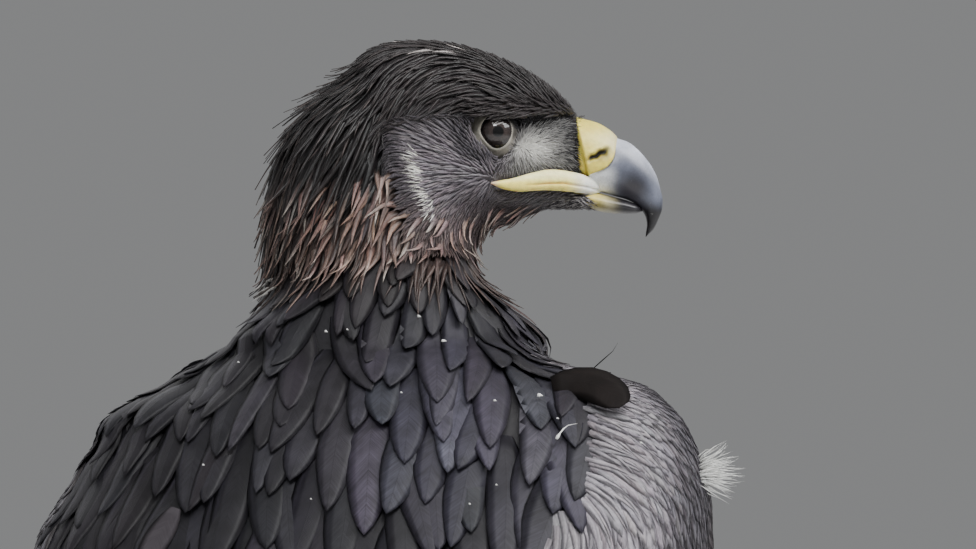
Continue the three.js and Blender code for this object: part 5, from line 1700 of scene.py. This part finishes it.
for side, nm in ((1, "left"), (-1, "right")):
    wing = Coat(f"coat_{nm}_wing", "wing_coverts", M_WING)
    d, row = 16.0, 0
    P, N, L, W = [], [], [], []
    while d < 152:
        t = float(ss(16, 150, d))
        gap, wid = 2.2 + 5.8 * t, 5.5 + 8.0 * t
        lo_a = float(lower_edge(d)) + 1 - 5 * float(ss(30, 16, d))
        hi_a = float(cover_top(d, np.array([side]))[0]) + 3
        step = math.degrees(wid * 0.56 / (float(half_width(d)) + 6))
        an = np.arange(lo_a, hi_a, step) + (row % 2) * step / 2
        an = an + rng.normal(0, step * 0.1, len(an))
        dd = d + rng.normal(0, gap * 0.12, len(an)) + 2.2 * np.sin(an * 0.22 + row * 0.7) * (1 - t * 0.6)
        p, n = wing_roots(dd, an, side)
        P.append(p); N.append(n)
        L.append(np.full(len(an), 3.3 * gap + 5)); W.append(np.full(len(an), wid))
        d += gap
        row += 1
    P, N, L, W = np.vstack(P), np.vstack(N), np.concatenate(L), np.concatenate(W)
    L = L * (0.92 + 0.16 * rng.random(len(L))) * (1.25 if side < 0 else 1)
    W = W * (0.85 if side < 0 else 1)
    C, NN = lay(P, N, L, 6, rng.normal(0, 0.07, len(P)), field=wing_flow, straight=0.5, cling=0.6)
    vanes(wing, C, NN, L, W, place_body(P), vary(marking(P), 0.14, 0.04), R5, petal if side < 0 else spoon, 4, camber=0.06, keel=0.012, thick=0.03, rise=(-1.5, 0.1), lift=0.2 * rng.random(len(P)), root=0.84, edge=0.08, jitter=0.06, roll=rng.normal(0.02, 0.05, len(P)), notch=0.1, fade=1.1)
    print(nm, "lesser", len(P))
    if side < 0:
        # the soft fringes that break up the rows over the bend
        P, N = sow(lambda q: is_wing(q) & (q["side"] < 0) & (q["d"] < 150) & (q["ang"] > -24), lambda q: 3.9 + 2.6 * ss(60, 150, q["d"]), lambda q: 1.3 + 0.9 * ss(60, 150, q["d"]), 31)
        q = info(P)
        L = (15 + 9 * ss(40, 150, q["d"])) * (0.85 + 0.3 * rng.random(len(P)))
        W = (2.3 + 1.5 * ss(40, 150, q["d"])) * (0.8 + 0.4 * rng.random(len(P)))
        C, NN = lay(P, N, L, 4, rng.normal(0, 0.13, len(P)), field=wing_flow, straight=0.5, cling=0.7)
        wave = 0.13 * np.sin(q["d"] * 0.9 + 1.8 * np.sin(q["ang"] * 0.11))
        vanes(wing, C, NN, L, W, place_body(P), vary(marking(P) * (1 + wave)[:, None], 0.08, 0.02), R3, hair, 4, camber=0.02, keel=0.03, thick=0.05, rise=(-0.9, 0.12), lift=0.2 * rng.random(len(P)), root=0.92, jitter=0.05)
        print("fringe", len(P))
    for d0, Lc, Wc, gap_, top_ in ((156, 44, 20, 0.5, 0), (171, 48, 21, 0.5, 0), (192, 84, 27, 0.5, 4), (214, 92, 30, 0.5, 6)):
        hi_a = float(cover_top(d0, np.array([side]))[0]) + (3 + top_ if side > 0 else -1)
        step = math.degrees(Wc * gap_ / (float(half_width(d0)) + 6))
        an = np.arange(float(lower_edge(d0)) + 3, hi_a, step)
        dd = d0 + rng.normal(0, 1.2, len(an)) + 0.1 * (an - an.mean()) * -0.3
        p, n = wing_roots(dd, an, side)
        Lr = np.full(len(an), float(Lc)) * (0.95 + 0.1 * rng.random(len(an)))
        C, NN = lay(p, n, Lr, 8, rng.normal(0, 0.03, len(an)), field=wing_flow, straight=0.75, cling=0.4)
        vanes(wing, C, NN, Lr, np.full(len(an), float(Wc)), place_body(p), vary(marking(p), 0.14, 0.04), R9, spoon, 6, camber=0.12, keel=0.025, thick=0.025, rise=(-2.0 if side > 0 else -6.5, 1.4), lift=0.2, root=0.5, edge=0.3, roll=-0.05, notch=0.1)
    wing.flush()

    # flight feathers: straight stiff vanes, each over the one below it
    flight = Coat(f"coat_{nm}_flight", "flight_feathers", M_FLIGHT)
    nS, nP = 15, 10

    def quill(d0, d1, a0, a1, off, Wq, base, rings=R9, prof=spoon, tipw=0.0):
        s_ = np.linspace(0, 1, 11)[None]
        dd = d0[:, None] + (d1 - d0)[:, None] * s_
        an = a0[:, None] + (a1 - a0)[:, None] * s_
        # the root dives under the coat
        out_ = off[:, None] - 10 * (1 - s_) ** 5
        Cq = cloak(dd, np.radians(an), out_, side)
        e = 0.6
        Ca = cloak(dd, np.radians(an + e), out_, side)
        T_ = unit(np.gradient(Cq, axis=1))
        Nq = unit(np.cross(T_, Ca - Cq)) * side
        out = Cq - AXP[np.argmin(((Cq[:, :, None, 1:] - AXP[None, None, ::4, 1:]) ** 2).sum(3), 2) * 4]
        Nq = Nq * np.sign((Nq * out).sum(2))[..., None]
        Lq = np.linalg.norm(np.diff(Cq, axis=1), axis=2).sum(1)
        dn, an2 = d0, a0
        place = np.stack([side * (90 - an2) / 180, (dn + rng.random(len(dn)) * 20) / 400], -1)
        # the outer edge lies over the next feather down
        r_ = 0.07 * side
        vanes(flight, Cq, Nq, Lq, Wq, place, base, rings, prof, 6, camber=0.05, keel=0.02, thick=0.018, rise=(0.0, 0.4), root=0.75, edge=0.12, roll=r_ * np.ones(len(dn)), notch=0.06, jitter=0.06)

    i = np.arange(nP)
    tipd = np.array([598, 628, 645, 648, 636, 604, 566, 534, 504, 478.0])
    quill(np.full(nP, 262.0) + i * 2, tipd, np.linspace(-26, 38, nP), np.array([6, 17, 27, 36, 44, 50, 56, 60, 64, 67.0]), 0.2 + i * 0.42, np.full(nP, 31.0) - 0.6 * np.abs(i - 4), vary(np.broadcast_to(rgb(48, 43, 44), (nP, 3)), 0.12), [0, 0.1, 0.22, 0.34, 0.46, 0.58, 0.7, 0.8, 0.88, 0.94, 0.975, 1.0])
    i = np.arange(nS)
    quill(np.full(nS, 212.0) + 1.5 * i, 398 + 52 * ss(0.55, 1, i / (nS - 1)), np.linspace(-33, 60, nS), np.linspace(-16, 72, nS), 1.8 + i * 0.36, np.full(nS, 36.0), vary(np.broadcast_to(rgb(58, 51, 52), (nS, 3)), 0.14), [0, 0.1, 0.22, 0.34, 0.46, 0.58, 0.7, 0.8, 0.88, 0.94, 0.975, 1.0])
    # primary coverts and alula along the lower edge
    i = np.arange(9)
    quill(np.full(9, 176.0) + 4 * i, 262 + 9.0 * i, np.linspace(-37, -22, 9), np.linspace(-33, -6, 9), 3.4 + 0.3 * i, np.full(9, 21.0), vary(np.broadcast_to(rgb(60, 53, 54), (9, 3)), 0.14))
    i = np.arange(4)
    quill(np.full(4, 120.0) + 6 * i, 205 + 14.0 * i, np.linspace(-38, -33, 4), np.linspace(-36, -27, 4), 5.2 + 0.3 * i, np.full(4, 17.0), vary(np.broadcast_to(rgb(62, 55, 56), (4, 3)), 0.14))
    flight.flush()
    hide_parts(f"{nm}_primaries")

# ---------------------------------------------------------------- tail
tail = Coat("coat_tail", "tail_feathers", M_FLIGHT)
k = np.arange(12)
c = (k - 5.5) / 5.5
order = np.argsort(-np.abs(c))
c = c[order]
s_ = np.linspace(0, 1, 12)
sT = 0.06 + (0.985 - 0.035 * c[:, None] ** 2 - 0.06) * s_[None]
mid = TAIL.at(sT)
lat = c[:, None] * (tail_wide(sT) * 0.64)
drop = -(c[:, None] ** 2) * (2 + 6 * sT) - np.abs(c[:, None]) * 0.0
Ct = mid.copy()
Ct[..., 0] += lat
Ct[..., 2] += drop
T_ = unit(np.gradient(Ct, axis=1))
Nt = unit(np.cross(np.array([1.0, 0, 0]), T_))
Nt = Nt * np.sign(Nt[..., 2:3])
Ct = Ct + Nt * ((1 - np.abs(c)) * 2.4)[:, None, None]
Lt = np.linalg.norm(np.diff(Ct, axis=1), axis=2).sum(1)
base = vary(np.broadcast_to(rgb(58, 52, 52), (12, 3)), 0.1)
vanes(tail, Ct, Nt, Lt, np.full(12, 44.0), np.stack([c * 0.5 + 0.5, 0.2 + 0.6 * rng.random(12)], -1), base, [0, 0.08, 0.18, 0.3, 0.42, 0.54, 0.66, 0.77, 0.86, 0.93, 0.97, 1.0], spoon, 6, camber=0.06, keel=0.02, thick=0.02, rise=(0.0, 0.3), root=0.95, edge=0.1, roll=0.05 * np.sign(c), notch=0.06, jitter=0.05)
# coverts above and below its base
for way, rows in ((1, ((0.02, 70, 9), (0.08, 84, 9), (0.16, 96, 8), (0.25, 100, 7))), (-1, ((0.02, 66, 9), (0.1, 84, 8), (0.2, 96, 7), (0.3, 92, 6)))):
    for s0, Lc, n_ in rows:
        cc = np.linspace(-0.92, 0.92, n_) + rng.normal(0, 0.02, n_)
        Ls = Lc * (0.94 + 0.12 * rng.random(n_))
        ss_ = s0 + (Ls / TAIL.length)[:, None] * np.linspace(0, 1, 8)[None]
        m_ = TAIL.at(ss_)
        Cc = m_.copy()
        Cc[..., 0] += cc[:, None] * tail_wide(ss_) * 0.86
        T_ = unit(np.gradient(Cc, axis=1))
        Nc = unit(np.cross(np.array([1.0, 0, 0]), T_))
        Nc = Nc * np.sign(Nc[..., 2:3]) * way
        Cc = Cc + Nc * (tail_tall(ss_) * np.sqrt(np.maximum(0.08, 1 - (cc[:, None] * 0.93) ** 2)) * (0.62 if way > 0 else 0.8) + 0.6)[..., None]
        vanes(tail, Cc, Nc, Ls, np.full(n_, 25.0), np.stack([cc * 0.45 + 0.5, s0 * 2 + 0.1 * rng.random(n_)], -1), vary(np.broadcast_to(rgb(66, 58, 57), (n_, 3)), 0.16), R9, spoon, 6, camber=0.1, keel=0.02, thick=0.02, rise=(0.2, 2.0), root=0.6, edge=0.25, roll=0.0, notch=0.1)
tail.flush()
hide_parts("tail")

# ---------------------------------------------------------------- single feathers and bits of down that show in the view
def on_bird(pts):
    """Points of the hull under picture coordinates of the main view, with normals."""
    o = AIM + BACK * FAR
    P, N = [], []
    for x, y in pts:
        u, z = (x - 498.2) / 2.4, 533 + (131.9 - y) / 2.4
        d = unit(AIM + U * (u + 4.25) + Z * (z - AIM[2]) - o)
        hit = HULL.ray_cast(Vector(o), Vector(d))
        if hit[0] is None:
            P.append(o + d * np.linalg.norm(P[-1] - o) if P else o + d * FAR)
            N.append(N[-1] if N else BACK)
        else:
            P.append(np.array(hit[0]))
            N.append(np.array(hit[1]))
    return np.array(P), unit(np.array(N))


def single(coat, pts, W, tone, over, prof, rings, pts_n=4, **kw):
    C = Curve(on_bird(pts)[0])
    t_ = np.linspace(0, 1, 9)
    P = C.at(t_)
    _, N = nearest(P)
    N = unit(N * 0.6 + BACK * 0.4)
    P = P + N * np.linspace(over[0], over[1], 9)[:, None]
    vanes(coat, P[None], N[None], np.array([C.length]), np.array([float(W)]), place_body(P[:1]), np.asarray(tone)[None], rings, prof, pts_n, rise=(0, 0), **kw)


odd = Coat("coat_single", "plumage", M_DARK)
single(odd, [(552, 384), (570, 383), (589, 386), (606, 396), (617, 413)], 18.5, rgb(24, 20, 19), (-0.6, 5.0), spoon, R9, 6, camber=0.06, keel=0.01, thick=0.02, root=0.9, edge=0.0, roll=-0.02)
single(odd, [(592, 374), (602, 366), (610, 360), (616, 351)], 0.7, rgb(20, 17, 18), (3.0, 4.5), hair, R3, thick=0.3)
single(odd, [(176, 508), (163, 530), (150, 552), (141, 575)], 12.0, rgb(66, 62, 66), (0.2, 1.0), petal, R9, 6, camber=0.06, keel=0.01, thick=0.02, root=0.7)
odd.flush()
down = Coat("coat_down", "plumage", M_DOWN)
white = rgb(236, 236, 232)
for k in range(110):
    a_ = rng.uniform(-0.75, 0.7)
    long_ = rng.uniform(22, 46) * (1 - 0.35 * abs(a_))
    x0_, y0_ = 701 + rng.uniform(-2, 2), 472 + rng.uniform(-7, 7) + 9 * a_
    x1_, y1_ = x0_ + long_ * math.cos(a_), y0_ + long_ * math.sin(a_)
    b_ = rng.normal(0, 1.6)
    single(down, [(x0_, y0_), ((x0_ * 2 + x1_) / 3, (y0_ * 2 + y1_) / 3 + b_), ((x0_ + x1_ * 2) / 3, (y0_ + y1_ * 2) / 3 + b_), (x1_, y1_)], rng.uniform(0.35, 0.7), white * rng.uniform(0.85, 1), (-2, rng.uniform(-1, 2)), hair, R3, thick=0.3, root=0.95)
single(down, [(557, 440), (561, 434), (567, 428.5), (577, 426.5)], 0.75, white, (2.2, 3.2), hair, R5, thick=0.4, root=1.0)
single(down, [(556.5, 441), (559, 437), (561.5, 434)], 1.7, white, (2.4, 3.0), hair, R3, thick=0.3, root=1.0)
for x_, y_, w_ in ((444, 343, 1.9), (540, 397, 2.2), (495, 402, 1.2), (419, 317, 1.4), (402, 394, 0.9), (497, 486, 0.9), (470, 505, 0.9), (558, 420, 0.9), (240, 364, 1.0), (327, 332, 1.3), (205, 466, 1.0), (640, 444, 1.0), (348, 330, 0.8), (312, 500, 0.8)):
    single(down, [(x_ - w_ * 1.3, y_ - 0.4), (x_, y_ + 0.2), (x_ + w_ * 1.3, y_ + 0.9)], w_, white * 0.9, (1.6, 2.0), hair, R3, thick=0.35, root=1.0)
for k, (x_, y_) in enumerate(((257, 292), (259, 297), (262, 288), (256, 303), (265, 296))):
    single(down, [(x_ + 12, y_ - 9), (x_ + 5, y_ - 4), (x_ - 2, y_ + 3)], 1.6, rgb(206, 202, 196) * (0.75 + 0.06 * k), (0.6, 2.6), hair, R3, thick=0.2, root=0.6)
down.flush()

# ---------------------------------------------------------------- floor, camera and light
def flat_floor():
    me = bpy.data.meshes.new("studio_floor")
    r = 6.0
    n = 12
    vs = [(r * math.cos(i * 2 * math.pi / 48), r * math.sin(i * 2 * math.pi / 48), 0.0) for i in range(48)]
    me.from_pydata(vs, [], [list(range(48))])
    ob = bpy.data.objects.new("studio_floor", me)
    bpy.context.scene.collection.objects.link(ob)
    s = Shader("floor_paper")
    n1 = s.noise(s.object_mm(), 0.02, 3.0)
    k = s.ramp(n1, 0.3, 0.7, 0.7, 0.73)
    s.link(s.vec(k, k, k), s.b.inputs["Base Color"])
    s.put(Roughness=0.9, Specular_IOR_Level=0.1)
    me.materials.append(s.m)


flat_floor()
target, back = AIM * 0.001, BACK
cam = bpy.data.cameras.new("camera")
cam.sensor_width, cam.lens = 36.0, 350.0
cam_ob = bpy.data.objects.new("camera", cam)
bpy.context.scene.collection.objects.link(cam_ob)
pos = target + back * FAR * 0.001
cam_ob.location = pos
cam_ob.rotation_euler = Vector((target - pos).tolist()).to_track_quat("-Z", "Y").to_euler()
bpy.context.scene.camera = cam_ob


def softbox(name, place, size, power, colour=(1, 1, 1), aim=None):
    la = bpy.data.lights.new(name, "AREA")
    la.shape, la.size, la.size_y, la.energy, la.color = "RECTANGLE", size[0], size[1], power, colour
    ob = bpy.data.objects.new(name, la)
    bpy.context.scene.collection.objects.link(ob)
    ob.location = place
    aim = target if aim is None else np.asarray(aim)
    ob.rotation_euler = Vector((aim - np.asarray(place)).tolist()).to_track_quat("-Z", "Y").to_euler()
    return ob


right = np.array([U[0], U[1], 0])
softbox("key_above", target + back * 0.8 + right * 0.5 + Z * 1.4, (2.4, 0.7), 42, (1.0, 0.985, 0.97))
softbox("right_key", target + back * 0.35 + right * 1.5 + Z * 1.15, (1.1, 1.0), 26, (0.97, 0.98, 1.0))
softbox("far_fill", target - back * 1.7 - right * 0.8 + Z * 1.1, (1.6, 1.4), 9)
softbox("eye_light", target + back * 1.6 - right * 0.12 + Z * 1.35, (0.6, 0.3), 13, (0.9, 0.95, 1.0))
world = bpy.data.worlds.new("studio")
bpy.context.scene.world = world
world.use_nodes = True
bg = world.node_tree.nodes["Background"]
bg.inputs[0].default_value = (0.86, 0.87, 0.88, 1)
bg.inputs[1].default_value = 0.27

total = sum(len(p.vertices) - 2 for o in bpy.data.objects if o.type == "MESH" and not o.hide_render for p in o.data.polygons)
print("triangles of the coat and skin", TRIS, sum(TRIS.values()), "all shown", total)
